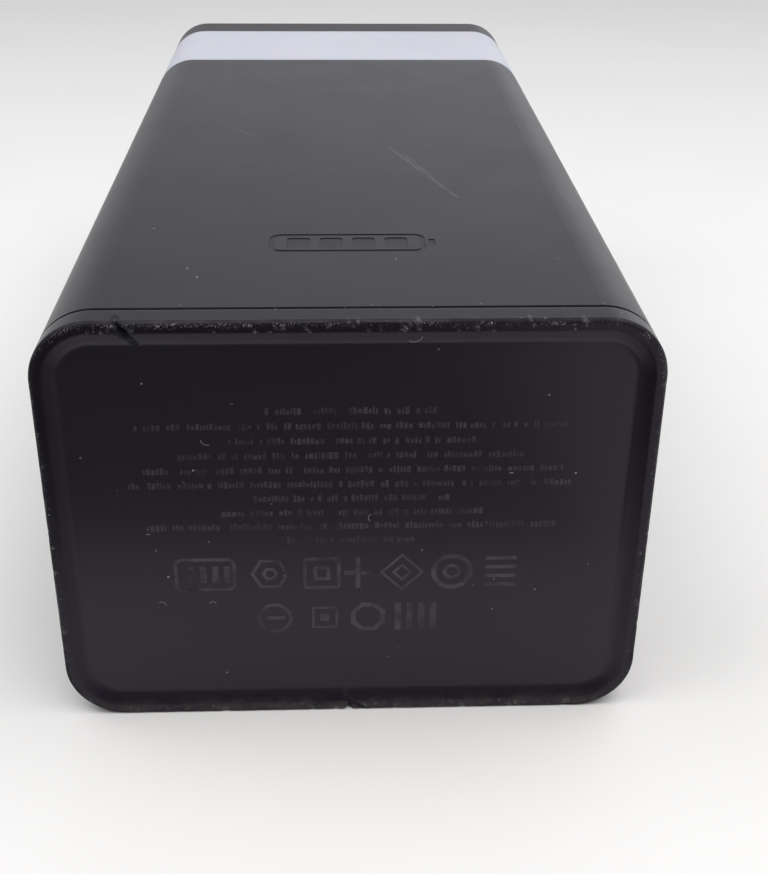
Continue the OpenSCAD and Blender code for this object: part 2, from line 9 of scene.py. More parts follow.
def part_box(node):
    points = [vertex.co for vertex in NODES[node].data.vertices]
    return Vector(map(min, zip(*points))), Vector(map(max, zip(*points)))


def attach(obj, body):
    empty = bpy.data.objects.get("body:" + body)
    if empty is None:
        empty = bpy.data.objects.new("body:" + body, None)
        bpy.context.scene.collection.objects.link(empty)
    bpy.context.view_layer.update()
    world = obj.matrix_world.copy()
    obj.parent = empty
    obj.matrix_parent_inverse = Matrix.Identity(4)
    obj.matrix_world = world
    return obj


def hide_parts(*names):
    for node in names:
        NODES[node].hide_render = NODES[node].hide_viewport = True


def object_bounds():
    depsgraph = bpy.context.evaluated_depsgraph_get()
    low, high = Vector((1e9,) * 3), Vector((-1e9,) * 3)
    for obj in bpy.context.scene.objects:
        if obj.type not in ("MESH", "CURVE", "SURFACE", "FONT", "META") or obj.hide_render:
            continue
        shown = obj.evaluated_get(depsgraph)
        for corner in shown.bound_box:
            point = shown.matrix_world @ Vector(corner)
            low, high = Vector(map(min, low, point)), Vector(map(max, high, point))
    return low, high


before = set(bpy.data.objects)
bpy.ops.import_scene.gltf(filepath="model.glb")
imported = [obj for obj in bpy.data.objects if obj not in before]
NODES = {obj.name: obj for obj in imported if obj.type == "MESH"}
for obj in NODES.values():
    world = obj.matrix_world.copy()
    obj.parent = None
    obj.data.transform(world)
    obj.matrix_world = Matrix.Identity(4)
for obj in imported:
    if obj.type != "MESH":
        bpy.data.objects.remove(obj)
CAD_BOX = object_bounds()

MM = 0.001
WHOLE_LO, WHOLE_HI = CAD_BOX
WIDE = WHOLE_HI[0] - WHOLE_LO[0]
TALL = WHOLE_HI[2] - WHOLE_LO[2]
MID_Z = TALL / 2
FOOT_Y = WHOLE_LO[1]
TOP_Y = WHOLE_HI[1]

# Sizes that the CAD solids have too
CORNER_R = 8.5 * MM
RIM_W = 1.6 * MM
SLOPE_W = 2.0 * MM
RECESS = 1.0 * MM
BASE_SIDE = 4.2 * MM
FOOT_FILLET = 0.5 * MM
EDGE_BREAK = 0.12 * MM
SPIGOT_U = 2.35 * MM
SPIGOT_IN_U = 3.45 * MM
SPIGOT_END = 12 * MM
PANEL_IN = 3.2 * MM
INLAY_R = 5.0 * MM
BUTTON_GAP = 0.3 * MM
PANEL_Y = FOOT_Y + RECESS


def middle(node):
    """Where a CAD node's box has its middle, as x and z."""
    lo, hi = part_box(node)
    return (lo[0] + hi[0]) / 2, (lo[2] + hi[2]) / 2


SLEEVE_LO, SLEEVE_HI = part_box("body_sleeve")
LAMP_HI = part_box("lamp_diffuser")[1]
INLAY_LO, INLAY_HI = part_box("control_panel")
BUTTON_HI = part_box("power_button")[1]
BUTTON_X, BUTTON_Z = middle("power_button")
BUTTON_R = 4.35 * MM
BUTTON_DISH = 0.18 * MM


# ---- Shader helpers ----

class Shader:
    """One node material, with short calls for the nodes it uses."""

    def __init__(self, name):
        self.material = bpy.data.materials.new(name)
        self.material.use_nodes = True
        self.tree = self.material.node_tree
        self.surface = self.tree.nodes["Principled BSDF"]
        self.coords = self.node("ShaderNodeTexCoord").outputs["Object"]
        split = self.node("ShaderNodeSeparateXYZ")
        self.link(self.coords, split.inputs[0])
        self.x, self.y, self.z = split.outputs

    def node(self, kind, **settings):
        made = self.tree.nodes.new(kind)
        for key, value in settings.items():
            setattr(made, key, value)
        return made

    def link(self, source, target):
        self.tree.links.new(source, target)

    def feed(self, socket, value):
        if hasattr(value, "is_output"):
            self.link(value, socket)
        else:
            socket.default_value = value

    def set(self, **values):
        """Sets the surface's inputs, each to a plain value or to what a node puts out."""
        for key, value in values.items():
            self.feed(self.surface.inputs[key.replace("_", " ")], value)

    def mapped(self, scale=(1, 1, 1), turn=(0, 0, 0), seed=0.0, source=None):
        """Coordinates scaled, turned and shifted to a place of their own for each seed."""
        made = self.node("ShaderNodeMapping")
        made.inputs["Location"].default_value = (seed * 0.0137, seed * 0.0071, seed * 0.0093)
        made.inputs["Scale"].default_value = scale
        made.inputs["Rotation"].default_value = turn
        self.link(source or self.coords, made.inputs["Vector"])
        return made.outputs["Vector"]

    def noise(self, size, detail=3.0, rough=0.55, stretch=(1, 1, 1), seed=0.0, distortion=0.0):
        """Noise with features of about this size in metres."""
        made = self.node("ShaderNodeTexNoise")
        self.link(self.mapped(stretch, seed=seed), made.inputs["Vector"])
        made.inputs["Scale"].default_value = 1 / size
        made.inputs["Detail"].default_value = detail
        made.inputs["Roughness"].default_value = rough
        made.inputs["Distortion"].default_value = distortion
        return made.outputs["Fac"]

    def math(self, operation, a, b=0.0, clamp=False):
        made = self.node("ShaderNodeMath", operation=operation, use_clamp=clamp)
        self.feed(made.inputs[0], a)
        self.feed(made.inputs[1], b)
        return made.outputs[0]

    def vector(self, operation, a, b=(0, 0, 0), result="Vector"):
        made = self.node("ShaderNodeVectorMath", operation=operation)
        self.feed(made.inputs[0], a)
        self.feed(made.inputs[1], b)
        return made.outputs[result]

    def times(self, *values):
        total = values[0]
        for value in values[1:]:
            total = self.math("MULTIPLY", total, value)
        return total

    def most(self, *values):
        top = values[0]
        for value in values[1:]:
            top = self.math("MAXIMUM", top, value)
        return top

    def span(self, value, low, high, out_low=0.0, out_high=1.0):
        """Value from low to high becomes out_low to out_high, and stays there beyond."""
        made = self.node("ShaderNodeMapRange", clamp=True)
        self.feed(made.inputs["Value"], value)
        made.inputs["From Min"].default_value = low
        made.inputs["From Max"].default_value = high
        made.inputs["To Min"].default_value = out_low
        made.inputs["To Max"].default_value = out_high
        return made.outputs["Result"]

    def band(self, value, low, high, soft):
        """1 between low and high, falling to 0 over soft on each side."""
        return self.times(self.span(value, low - soft, low), self.span(value, high, high + soft, 1, 0))

    def mix(self, factor, a, b):
        """Colour a at factor 0, through to colour b at factor 1."""
        made = self.node("ShaderNodeMix", data_type="RGBA")
        self.feed(made.inputs["Factor"], factor)
        for socket, value in (("A", a), ("B", b)):
            target = [i for i in made.inputs if i.name == socket and i.type == "RGBA"][0]
            self.feed(target, value if hasattr(value, "is_output") else (*value, 1.0))
        return [o for o in made.outputs if o.type == "RGBA"][0]

    def bump(self, height, depth, strength):
        """Surface direction over small bumps, depth metres high at full strength."""
        made = self.node("ShaderNodeBump")
        made.inputs["Strength"].default_value = strength
        made.inputs["Distance"].default_value = depth
        self.link(height, made.inputs["Height"])
        return made.outputs["Normal"]

    def roughen(self, size, seed, low, high, detail=3.0):
        """Roughness that wanders from low to high over features of this size."""
        self.set(Roughness=self.span(self.noise(size, detail=detail, seed=seed), 0.3, 0.7, low, high))

    def attribute(self, name):
        return self.node("ShaderNodeAttribute", attribute_name=name).outputs["Fac"]

    def inset(self):
        """How far in from the pack's outline a point lies, across its length."""
        qx = self.math("SUBTRACT", self.math("ABSOLUTE", self.x), WIDE / 2 - CORNER_R)
        up = self.math("SUBTRACT", self.z, MID_Z)
        qz = self.math("SUBTRACT", self.math("ABSOLUTE", up), TALL / 2 - CORNER_R)
        corner = [self.math("POWER", self.most(q, 0.0), 2.0) for q in (qx, qz)]
        beyond = self.math("SQRT", self.math("ADD", *corner))
        within = self.math("MINIMUM", self.most(qx, qz), 0.0)
        return self.math("SUBTRACT", CORNER_R, self.math("ADD", beyond, within))

    def ragged(self, size, amount):
        """Coordinates shaken by noise, so that what is drawn on them has torn outlines."""
        shake = self.node("ShaderNodeTexNoise")
        self.link(self.coords, shake.inputs["Vector"])
        shake.inputs["Scale"].default_value = 1 / size
        shift = self.vector("MULTIPLY", shake.outputs["Color"], (amount, amount, amount))
        return self.vector("ADD", self.coords, shift)

    def specks(self, cell, share, reach, seed=0.0, stretch=(1, 1, 1), turn=(0, 0, 0), torn=0.0):
        """Scattered specks: one in a share of the cells, of up to reach cells across."""
        made = self.node("ShaderNodeTexVoronoi")
        source = self.ragged(cell * 0.35, cell * torn) if torn else None
        self.link(self.mapped(stretch, turn, seed, source), made.inputs["Vector"])
        made.inputs["Scale"].default_value = 1 / cell
        split = self.node("ShaderNodeSeparateColor")
        self.link(made.outputs["Color"], split.inputs[0])
        chosen = self.math("LESS_THAN", split.outputs[0], share)
        near = self.math("LESS_THAN", made.outputs["Distance"], self.times(split.outputs[1], reach))
        return self.times(chosen, near, self.span(split.outputs[2], 0, 1, 0.35, 1))

    def stroke(self, start, end, width, broken=0.0, seed=0.0):
        """1 on the line between two points, falling to 0 at width from it, with gaps in it if broken."""
        start, end = Vector(start), Vector(end)
        way = (end - start).normalized()
        off = self.vector("SUBTRACT", self.coords, start)
        along = self.vector("DOT_PRODUCT", off, way, "Value")
        far = self.vector("LENGTH", self.vector("CROSS_PRODUCT", off, way), result="Value")
        line = self.span(far, width * 0.3, width, 1, 0)
        ends = self.band(along, 0, (end - start).length, 0.8 * MM)
        gaps = self.span(self.noise(2.5 * MM, seed=seed), broken * 0.5, broken * 0.5 + 0.25)
        return self.times(line, ends, gaps)

    def curl(self, x, z, radius, middle, width):
        """A third of a circle seen along the pack's length, as of a fibre lying on the end face."""
        dx, dz = self.math("SUBTRACT", self.x, x), self.math("SUBTRACT", self.z, z)
        squares = self.math("ADD", self.times(dx, dx), self.times(dz, dz))
        away = self.math("ABSOLUTE", self.math("SUBTRACT", self.math("SQRT", squares), radius))
        ahead = self.math("ADD", self.times(dx, math.cos(middle)), self.times(dz, math.sin(middle)))
        line = self.span(away, width * 0.4, width, 1, 0)
        return self.times(line, self.span(ahead, radius * 0.45, radius * 0.6))


# ---- Materials of the outside ----

def black_plastic(name, color, rough, gloss, seed, wear_and_painted_light=(), shine=(1, 1, 1)):
    """Matt moulded black: spark texture, mottling, and the wear, dust, painted shade and painted highlights
    that each given function adds to them.
    It gives where it shows, the colour there and the added roughness. shine tints reflections."""
    s = Shader(name)
    mottle = s.span(s.noise(26 * MM, detail=5, seed=seed), 0.3, 0.7)
    base = s.mix(mottle, [c * 0.86 for c in color], [c * 1.14 for c in color])
    smear = s.span(s.noise(11 * MM, detail=5, rough=0.62, seed=seed + 2, distortion=0.6), 0.35, 0.7)
    grain = s.noise(0.22 * MM, detail=2, seed=seed + 4)
    even = s.span(smear, 0, 1, rough - 0.015, rough + 0.015)
    roughness = s.math("ADD", even, s.span(grain, 0.3, 0.7, -0.03, 0.03))
    for add_mark in wear_and_painted_light:
        amount, tint, rougher = add_mark(s, seed)
        base = s.mix(amount, base, tint)
        roughness = s.math("ADD", roughness, s.times(amount, rougher))
    s.set(Base_Color=base, Roughness=roughness, Normal=s.bump(grain, 0.02 * MM, 0.5))
    s.set(IOR=1.5, Specular_IOR_Level=gloss, Specular_Tint=(*shine, 1))
    return s.material


def dust(s, seed):
    fine = s.specks(1.5 * MM, 0.055, 0.12, seed + 10, torn=0.06)
    large = s.specks(5.5 * MM, 0.13, 0.05, seed + 11, torn=0.05)
    lint = s.specks(4 * MM, 0.05, 0.09, seed + 12, (1, 1, 5), (0.4, 0.7, 0.2), torn=0.1)
    uneven = s.span(s.noise(4 * MM, seed=seed + 13), 0.38, 0.62, 0.25, 1)
    return s.times(s.most(fine, large, lint), uneven, 0.9), (0.38, 0.37, 0.38), 0.15


def panel_lint(s, seed):
    """A few curled fibres on the foot end."""
    draw = random.Random(31)
    curls = [s.curl(8.2 * MM, 61.2 * MM, 1.1 * MM, -1.1, 0.07 * MM)]
    for _ in range(4):
        x, z = draw.uniform(-28, 30) * MM, draw.uniform(14, 57) * MM
        curls.append(s.curl(x, z, draw.uniform(0.5, 0.9) * MM, draw.uniform(-3, 3), 0.055 * MM))
    return s.times(s.most(*curls), s.span(s.y, PANEL_Y, PANEL_Y + MM, 0.6, 0)), (0.34, 0.33, 0.35), 0.15


def rim_wear(s, seed):
    """Pale rubbed grain and small nicks along the rim's upper edge, thickest near its left end."""
    inset = s.inset()
    face = s.span(s.y, PANEL_Y - 0.2 * MM, PANEL_Y, 1, 0)
    outer = s.times(s.span(inset, 0.1 * MM, 0.35 * MM), s.span(inset, 0.5 * MM, 1.4 * MM, 1, 0), face)
    rim = s.times(s.band(inset, 0.1 * MM, RIM_W - 0.2 * MM, 0.3 * MM), face)
    above = s.span(s.z, MID_Z, TALL, 0.25, 1)
    crowd = s.span(s.noise(4 * MM, detail=3, rough=0.6, seed=seed + 20), 0.42, 0.60, 0.1, 1)
    left_run = s.band(s.x, -31 * MM, -16 * MM, 4 * MM)
    dense = s.times(s.most(crowd, left_run), above)
    grain = s.noise(0.17 * MM, detail=3, rough=0.65, stretch=(1, 1, 0.5), seed=seed + 21)
    rubbed = s.math("ADD", grain, s.times(dense, outer, 0.12))
    shade = s.span(s.noise(1.1 * MM, detail=2, seed=seed + 26), 0.38, 0.62, 0.18, 0.8)
    fine = s.times(s.span(rubbed, 0.64, 0.72), outer, shade)
    middling = s.times(s.specks(0.7 * MM, 0.15, 0.26, seed + 23, (1, 1, 0.6), torn=0.4), dense, outer)
    large = s.times(s.specks(2.4 * MM, 0.24, 0.11, seed + 22, (1, 1, 0.6), torn=0.15), rim, above)
    torn = s.span(s.noise(0.16 * MM, detail=2, seed=seed + 24), 0.48, 0.58)
    chips = s.times(s.attribute("chip"), torn, 0.35)
    return s.math("MINIMUM", s.most(fine, middling, large, chips), 0.9), (0.42, 0.40, 0.41), 0.15


def edge_rub(s, seed):
    """The rim's outer edge is rubbed rough in runs, where it shines less."""
    across = s.span(s.inset(), 0.4 * MM, 0.65 * MM, 1, 0)
    edge = s.times(across, s.span(s.y, FOOT_Y + 0.45 * MM, FOOT_Y + 0.8 * MM, 1, 0))
    runs = s.span(s.noise(9 * MM, detail=3, seed=seed + 25), 0.40, 0.56, 1, 0.15)
    return s.times(edge, runs), (0.0045, 0.0035, 0.006), 0.4


def cut_grime_and_shade(s, seed):
    """Dark grime and painted shade deep in the cut and the splits."""
    return s.attribute("dirt_and_shade"), (0.0015, 0.0015, 0.002), 0.5


def seam_painted_shade(s, seed):
    """Painted shade in the open seam between the base cap and the sleeve."""
    at_cap = FOOT_Y + BASE_SIDE
    return s.band(s.y, at_cap - 0.1 * MM, SLEEVE_LO[1] + 0.13 * MM, 0.04 * MM), (0.001, 0.001, 0.0013), 0.6


def foot_scuff_and_bounce(s, seed):
    """Brownish rubbing where the rim meets what it stands or lies on, with painted bounce light from the
    floor low on the rim.
    """
    low = s.span(s.z, 0.5 * MM, 3.2 * MM, 1, 0)
    rim = s.span(s.y, FOOT_Y + 0.1 * MM, FOOT_Y + 1.2 * MM, 1, 0)
    patches = s.span(s.noise(3 * MM, detail=4, rough=0.7, seed=seed + 30), 0.38, 0.62)
    pale = s.specks(0.5 * MM, 0.30, 0.55, seed + 31, torn=0.5)
    return s.times(low, rim, s.most(s.times(patches, 0.4), s.times(pale, 0.7))), (0.085, 0.066, 0.060), 0.15


def side_tone(s, seed):
    """The cap's sides are as the sleeve is: smoother than its end face, and paler, since the end face's black
    is darkened with painted shade.
    """
    return s.span(s.y, FOOT_Y + 0.5 * MM, FOOT_Y + 0.9 * MM), (0.0150, 0.0132, 0.0178), -0.07


def edge_wear_and_highlight(s, seed):
    """Thin pale line on the outermost edge of the foot rim, faint along its top: edge wear and a painted
    highlight.
    """
    across = s.span(s.inset(), 0.05 * MM, 0.5 * MM, 1, 0)
    edge = s.times(across, s.band(s.y, FOOT_Y, FOOT_Y + 0.9 * MM, 0.3 * MM))
    broken = s.span(s.noise(2.2 * MM, detail=4, rough=0.7, seed=seed + 40), 0.42, 0.66)
    lower = s.span(s.z, TALL - 7 * MM, TALL - 2 * MM, 1, 0.2)
    return s.times(edge, broken, lower, 0.5), (0.15, 0.14, 0.145), 0.15


def corner_wear_and_highlight(s, seed):
    """Pale strips along the two upper long corners, wider at the foot end: polish wear and a painted
    highlight.
    """
    over = s.math("SUBTRACT", s.z, TALL - CORNER_R)
    out = s.math("SUBTRACT", s.math("ABSOLUTE", s.x), WIDE / 2 - CORNER_R)
    turn = s.math("ARCTAN2", s.most(over, 0.0), s.most(out, 0.00001))
    broad = s.span(s.y, FOOT_Y, TOP_Y, 0.42, 0.16)
    off = s.math("ABSOLUTE", s.math("SUBTRACT", turn, 0.95))
    strip = s.math("SUBTRACT", 1.0, s.math("DIVIDE", off, broad), clamp=True)
    uneven = s.span(s.noise(14 * MM, detail=4, stretch=(1, 0.25, 1), seed=seed + 50), 0.3, 0.7, 0.35, 1)
    # Painted highlight: stronger on the right, the side the key light stands on.
    side = s.span(s.x, -1 * MM, 1 * MM, 0.35, 1)
    present = s.times(s.span(over, -0.5 * MM, 0.5 * MM), s.span(out, -0.5 * MM, 0.5 * MM))
    return s.times(strip, uneven, side, present, 0.5), (0.075, 0.072, 0.078), 0.15


def top_scratches(s, seed):
    """Four broken scratches on the broad face that lies up."""
    # Start and end as x, distance from the foot and drop below the face, then width, all in mm,
    # and how broken the line is
    marks = [
        ((8.4, 79.4, 0), (18.1, 50.7, 0), 0.35, 0.6),
        ((11.2, 74, 0), (14.9, 62, 0), 0.25, 0.5),
        ((-22, 96, 0), (-17, 88, 0), 0.2, 0.5),
        ((35.4, 55, 0.3), (37, 47, 0.6), 0.4, 0.5),
    ]
    lines = []
    for k, (start, end, width, broken) in enumerate(marks):
        ends = [(x * MM, FOOT_Y + y * MM, TALL - drop * MM) for x, y, drop in (start, end)]
        lines.append(s.stroke(*ends, width * MM, broken, 60 + k))
    return s.times(s.most(*lines), 0.5), (0.13, 0.125, 0.13), 0.15


def sunk_emblem(s, seed):
    """The floor of the sunk emblem is a little darker."""
    sunk = s.band(s.z, TALL - 0.4 * MM, TALL - 0.07 * MM, 0.03 * MM)
    across = s.band(s.x, -14 * MM, 14 * MM, MM)
    along = s.band(s.y, FOOT_Y + 20 * MM, FOOT_Y + 38 * MM, MM)
    return s.times(sunk, across, along), (0.0125, 0.0115, 0.0155), 0.05


def seam_dust(s, seed):
    """Grit beside the seam, and more specks towards the foot end of the sleeve."""
    near = s.band(s.y, SLEEVE_LO[1], SLEEVE_LO[1] + 0.4 * MM, 0.8 * MM)
    grit = s.times(s.specks(0.9 * MM, 0.26, 0.24, seed + 70, torn=0.25), near)
    towards = s.span(s.y, SLEEVE_LO[1] + 2 * MM, SLEEVE_LO[1] + 34 * MM, 1, 0.1)
    loose = s.times(s.specks(2.1 * MM, 0.16, 0.11, seed + 71, (1, 0.6, 1), torn=0.1), towards)
    return s.times(s.most(grit, loose), 0.85), (0.42, 0.41, 0.42), 0.15


def shell_black():
    marks_and_painted_light = (sunk_emblem, corner_wear_and_highlight, top_scratches, seam_painted_shade, seam_dust, dust)
    return black_plastic("shell_black", (0.0128, 0.0117, 0.0158), 0.36, 0.5, 1.0, marks_and_painted_light)


def base_black():
    marks_and_painted_light = (side_tone, foot_scuff_and_bounce, edge_rub, edge_wear_and_highlight, rim_wear, cut_grime_and_shade, seam_painted_shade, dust, panel_lint)
    # The end face's black is a darker copy of the sleeve's: painted shade on the foot face.
    return black_plastic("base_black", (0.0060, 0.0046, 0.0092), 0.38, 0.32, 120.0, marks_and_painted_light, (0.92, 0.86, 1.0))


def cap_black():
    return black_plastic("cap_black", (0.0150, 0.0138, 0.0180), 0.40, 0.45, 220.0, (dust,))


def button_satin():
    """Satin black, smeared by fingers."""
    s = Shader("button_satin")
    smear = s.span(s.noise(3 * MM, detail=4, seed=231), 0.35, 0.65)
    s.set(Base_Color=s.mix(smear, (0.024, 0.024, 0.027), (0.034, 0.034, 0.037)))
    s.set(Roughness=s.span(smear, 0, 1, 0.28, 0.36))
    s.set(Normal=s.bump(s.noise(0.15 * MM, detail=1, seed=232), 0.01 * MM, 0.3))
    return s.material


def panel_ink():
    """Faded grey pad print, its small rows fainter than the figures under them."""
    s = Shader("panel_ink")
    faded = s.span(s.noise(3.5 * MM, detail=5, rough=0.7, seed=81), 0.28, 0.60)
    faded = s.times(faded, s.span(s.z, 27 * MM, 29 * MM, 1, 0.62))
    s.set(Base_Color=s.mix(faded, (0.0095, 0.0075, 0.0120), (0.066, 0.055, 0.062)))
    s.roughen(1.2 * MM, 82, 0.5, 0.62)
    s.set(Specular_IOR_Level=0.3)
    return s.material


def face_ink():
    """Crisp light grey print on the control face."""
    s = Shader("face_ink")
    s.set(Base_Color=s.mix(s.noise(0.6 * MM, detail=4, seed=84), (0.50, 0.50, 0.51), (0.62, 0.62, 0.63)))
    s.roughen(0.5 * MM, 85, 0.42, 0.52)
    return s.material


def smoked_gloss():
    """Polished smoked plastic with haze and hairlines."""
    s = Shader("smoked_gloss")
    haze = s.span(s.noise(9 * MM, detail=5, rough=0.65, seed=91, distortion=0.8), 0.35, 0.7)
    hairlines = []
    for k, turn in enumerate((0.3, 1.2, 2.1)):
        hairlines.append(s.specks(4 * MM, 0.25, 0.05, 92 + k, (1, 1, 14), (0, turn, 0)))
    s.set(Base_Color=s.mix(haze, (0.006, 0.006, 0.008), (0.011, 0.011, 0.013)))
    s.set(Roughness=s.math("ADD", s.span(haze, 0, 1, 0.05, 0.14), s.times(s.most(*hairlines), 0.25)))
    s.set(Normal=s.bump(s.noise(14 * MM, detail=1, seed=96), 0.01 * MM, 0.2))
    s.set(Coat_Weight=0.4, Coat_Roughness=0.04)
    return s.material


def milky():
    """Translucent diffuser: pale lavender white, with painted shade next to the sleeve and towards the cap.
    """
    s = Shader("milky_diffuser")
    cloud = s.span(s.noise(24 * MM, detail=3, seed=101), 0.3, 0.7)
    pale = s.mix(cloud, (0.525, 0.535, 0.61), (0.56, 0.57, 0.65))
    # Painted shade where the diffuser meets the black sleeve and the top cap
    at_sleeve = s.span(s.y, SLEEVE_HI[1], SLEEVE_HI[1] + 2.2 * MM, 1, 0)
    at_cap = s.span(s.y, LAMP_HI[1] - 5.5 * MM, LAMP_HI[1] - 3 * MM)
    marks = s.specks(3.2 * MM, 0.06, 0.07, 104)
    shaded = s.mix(s.times(s.most(at_sleeve, at_cap), 0.35), pale, (0.40, 0.41, 0.50))
    s.set(Base_Color=s.mix(s.times(marks, 0.6), shaded, (0.25, 0.25, 0.28)))
    s.roughen(7 * MM, 102, 0.38, 0.46, detail=4)
    s.set(Normal=s.bump(s.noise(0.35 * MM, detail=2, seed=103), 0.01 * MM, 0.35))
    s.set(Subsurface_Weight=0.55, Subsurface_Scale=0.003)
    return s.material


# ---- Materials of the inside ----

def moulded(name, color, rough=0.45, seed=300.0, grain=0.25 * MM, spread=0.10, depth=0.02 * MM):
    """Plain moulded plastic with flow mottling and a fine texture."""
    s = Shader(name)
    flow = s.span(s.noise(8 * MM, detail=4, seed=seed, distortion=0.5), 0.3, 0.7)
    darker, lighter = [c * (1 - spread) for c in color], [min(1, c * (1 + spread)) for c in color]
    s.set(Base_Color=s.mix(flow, darker, lighter))
    s.roughen(4 * MM, seed + 1, rough - 0.05, rough + 0.05)
    s.set(Normal=s.bump(s.noise(grain, detail=2, seed=seed + 2), depth, 0.4))
    return s.material


def plated(name, color, rough=0.28, seed=330.0, grain_along=(1, 0.05, 1)):
    """Stamped metal with rolling lines along one way, and dull patches."""
    s = Shader(name)
    lines = s.noise(0.3 * MM, detail=3, stretch=grain_along, seed=seed)
    dull = s.span(s.noise(3 * MM, detail=4, rough=0.6, seed=seed + 1), 0.4, 0.7)
    s.set(Base_Color=s.mix(dull, color, [c * 0.78 for c in color]), Metallic=1.0)
    even = s.span(dull, 0, 1, rough, rough + 0.14)
    s.set(Roughness=s.math("ADD", even, s.span(lines, 0.3, 0.7, -0.05, 0.05)))
    s.set(Normal=s.bump(lines, 0.01 * MM, 0.5))
    return s.material


def circuit_board(name, color, track, seed=350.0):
    """Solder mask over a faint pattern of tracks."""
    s = Shader(name)
    tracks = s.node("ShaderNodeTexBrick", offset=0.35, squash=1.6)
    s.link(s.mapped((1, 1, 1), (math.pi / 2, 0, 0)), tracks.inputs["Vector"])
    tracks.inputs["Scale"].default_value = 260
    tracks.inputs["Mortar Size"].default_value = 0.03
    lines = tracks.outputs["Fac"]
    patches = s.span(s.noise(5 * MM, seed=seed), 0.45, 0.55)
    s.set(Base_Color=s.mix(s.times(lines, patches), color, track))
    s.roughen(2 * MM, seed + 1, 0.22, 0.34)
    s.set(Normal=s.bump(lines, 0.02 * MM, 0.3))
    s.set(Coat_Weight=0.3)
    return s.material


def shrink_wrap():
    """Glossy green sleeve of a cell, crinkled and faded in patches."""
    s = Shader("cell_wrap")
    crinkle = s.noise(1.6 * MM, detail=4, stretch=(1, 0.2, 1), seed=371)
    faded = s.span(s.noise(2 * MM, seed=372), 0.5, 0.62)
    s.set(Base_Color=s.mix(faded, (0.03, 0.26, 0.22), (0.045, 0.33, 0.28)))
    s.set(Roughness=s.span(crinkle, 0.3, 0.7, 0.2, 0.34))
    s.set(Normal=s.bump(crinkle, 0.05 * MM, 0.5), Coat_Weight=0.5)
    return s.material


def open_foam():
    """Dark open-celled foam."""
    s = Shader("open_foam")
    pores = s.node("ShaderNodeTexVoronoi")
    s.link(s.coords, pores.inputs["Vector"])
    pores.inputs["Scale"].default_value = 1 / (0.6 * MM)
    deep = pores.outputs["Distance"]
    s.set(Base_Color=s.mix(deep, (0.03, 0.03, 0.032), (0.11, 0.11, 0.12)))
    s.set(Roughness=s.span(deep, 0, 0.6, 0.85, 0.95), Normal=s.bump(deep, 0.2 * MM, 0.8))
    return s.material


def pressed_paper():
    """Greenish pressed paper with fibres."""
    s = Shader("fish_paper")
    fibre = s.noise(0.5 * MM, detail=5, stretch=(1, 1, 0.3), seed=381)
    s.set(Base_Color=s.mix(fibre, (0.46, 0.50, 0.36), (0.60, 0.63, 0.48)))
    s.set(Roughness=s.span(fibre, 0.3, 0.7, 0.65, 0.8), Normal=s.bump(fibre, 0.03 * MM, 0.6))
    return s.material


def lead_insulation():
    """Silicone leads, red on one side of the pack and black on the other."""
    s = Shader("lead_insulation")
    side = s.math("GREATER_THAN", s.z, MID_Z)
    red = s.mix(s.noise(2 * MM, seed=391), (0.32, 0.02, 0.02), (0.42, 0.03, 0.03))
    s.set(Base_Color=s.mix(side, red, (0.02, 0.02, 0.02)))
    s.roughen(MM, 392, 0.5, 0.62)
    return s.material


def phosphor():
    """Yellow phosphor of the LED packages."""
    s = Shader("led_phosphor")
    dots = s.specks(0.3 * MM, 0.4, 0.5, 395)
    s.set(Base_Color=s.mix(dots, (0.88, 0.78, 0.34), (0.95, 0.88, 0.52)))
    s.set(Coat_Weight=0.5)
    s.roughen(0.6 * MM, 396, 0.3, 0.45)
    return s.material


def paint(material, *parts):
    """Gives CAD nodes their material."""
    for part in parts:
        data = NODES[part].data
        data.materials.clear()
        data.materials.append(material)


def paint_inside():
    """A material for each CAD node that the shell hides, and for the sockets."""
    def named(start):
        return [n for n in NODES if n.startswith(start)]

    paint(open_foam(), "base_foam_pad")
    paint(shrink_wrap(), *named("cell_lower"), *named("cell_upper"))
    paint(moulded("holder_plastic", (0.03, 0.03, 0.034), 0.5, 301), *named("cell_holder"))
    paint(plated("nickel", (0.72, 0.71, 0.68), 0.25, 331), *[n for n in NODES if n.endswith("_strip")])
    paint(pressed_paper(), "insulator_sheets")
    paint(circuit_board("green_board", (0.015, 0.14, 0.07), (0.04, 0.26, 0.12), 351), "protection_board")
    paint(circuit_board("black_board", (0.006, 0.006, 0.008), (0.02, 0.02, 0.024), 353), "main_board")
    paint(circuit_board("white_board", (0.80, 0.80, 0.79), (0.68, 0.68, 0.66), 355), "lamp_boards")
    paint(lead_insulation(), "battery_leads")
    paint(moulded("core_white", (0.78, 0.78, 0.76), 0.4, 303, spread=0.04), "lamp_core", "board_tray")
    paint(phosphor(), "lamp_leds")
    paint(moulded("ferrite", (0.055, 0.055, 0.06), 0.7, 305, 0.12 * MM, 0.2, 0.05 * MM), "power_inductors")
    paint(moulded("chip_epoxy", (0.018, 0.018, 0.02), 0.55, 307, 0.1 * MM), "circuit_chips")
    paint(plated("screw_steel", (0.55, 0.55, 0.56), 0.3, 333, (1, 1, 1)), "screws")
    shells = named("usb_a_shell") + ["usb_c_shell", "micro_usb_shell"]
    paint(plated("socket_steel", (0.66, 0.66, 0.67), 0.24, 335), *shells)
    paint(moulded("socket_white", (0.74, 0.74, 0.73), 0.35, 309, spread=0.04), "usb_a_tongues")
    paint(moulded("socket_black", (0.012, 0.012, 0.013), 0.4, 311), "usb_c_tongue", "micro_usb_tongue")
    paint(moulded("display_case", (0.02, 0.02, 0.022), 0.3, 313), "display_module")
    paint(moulded("switch_black", (0.025, 0.025, 0.025), 0.4, 315), "tact_switch")
    paint(moulded("plunger_plastic", (0.66, 0.66, 0.64), 0.35, 317, spread=0.05), "switch_plunger")


# ---- Mesh helpers ----

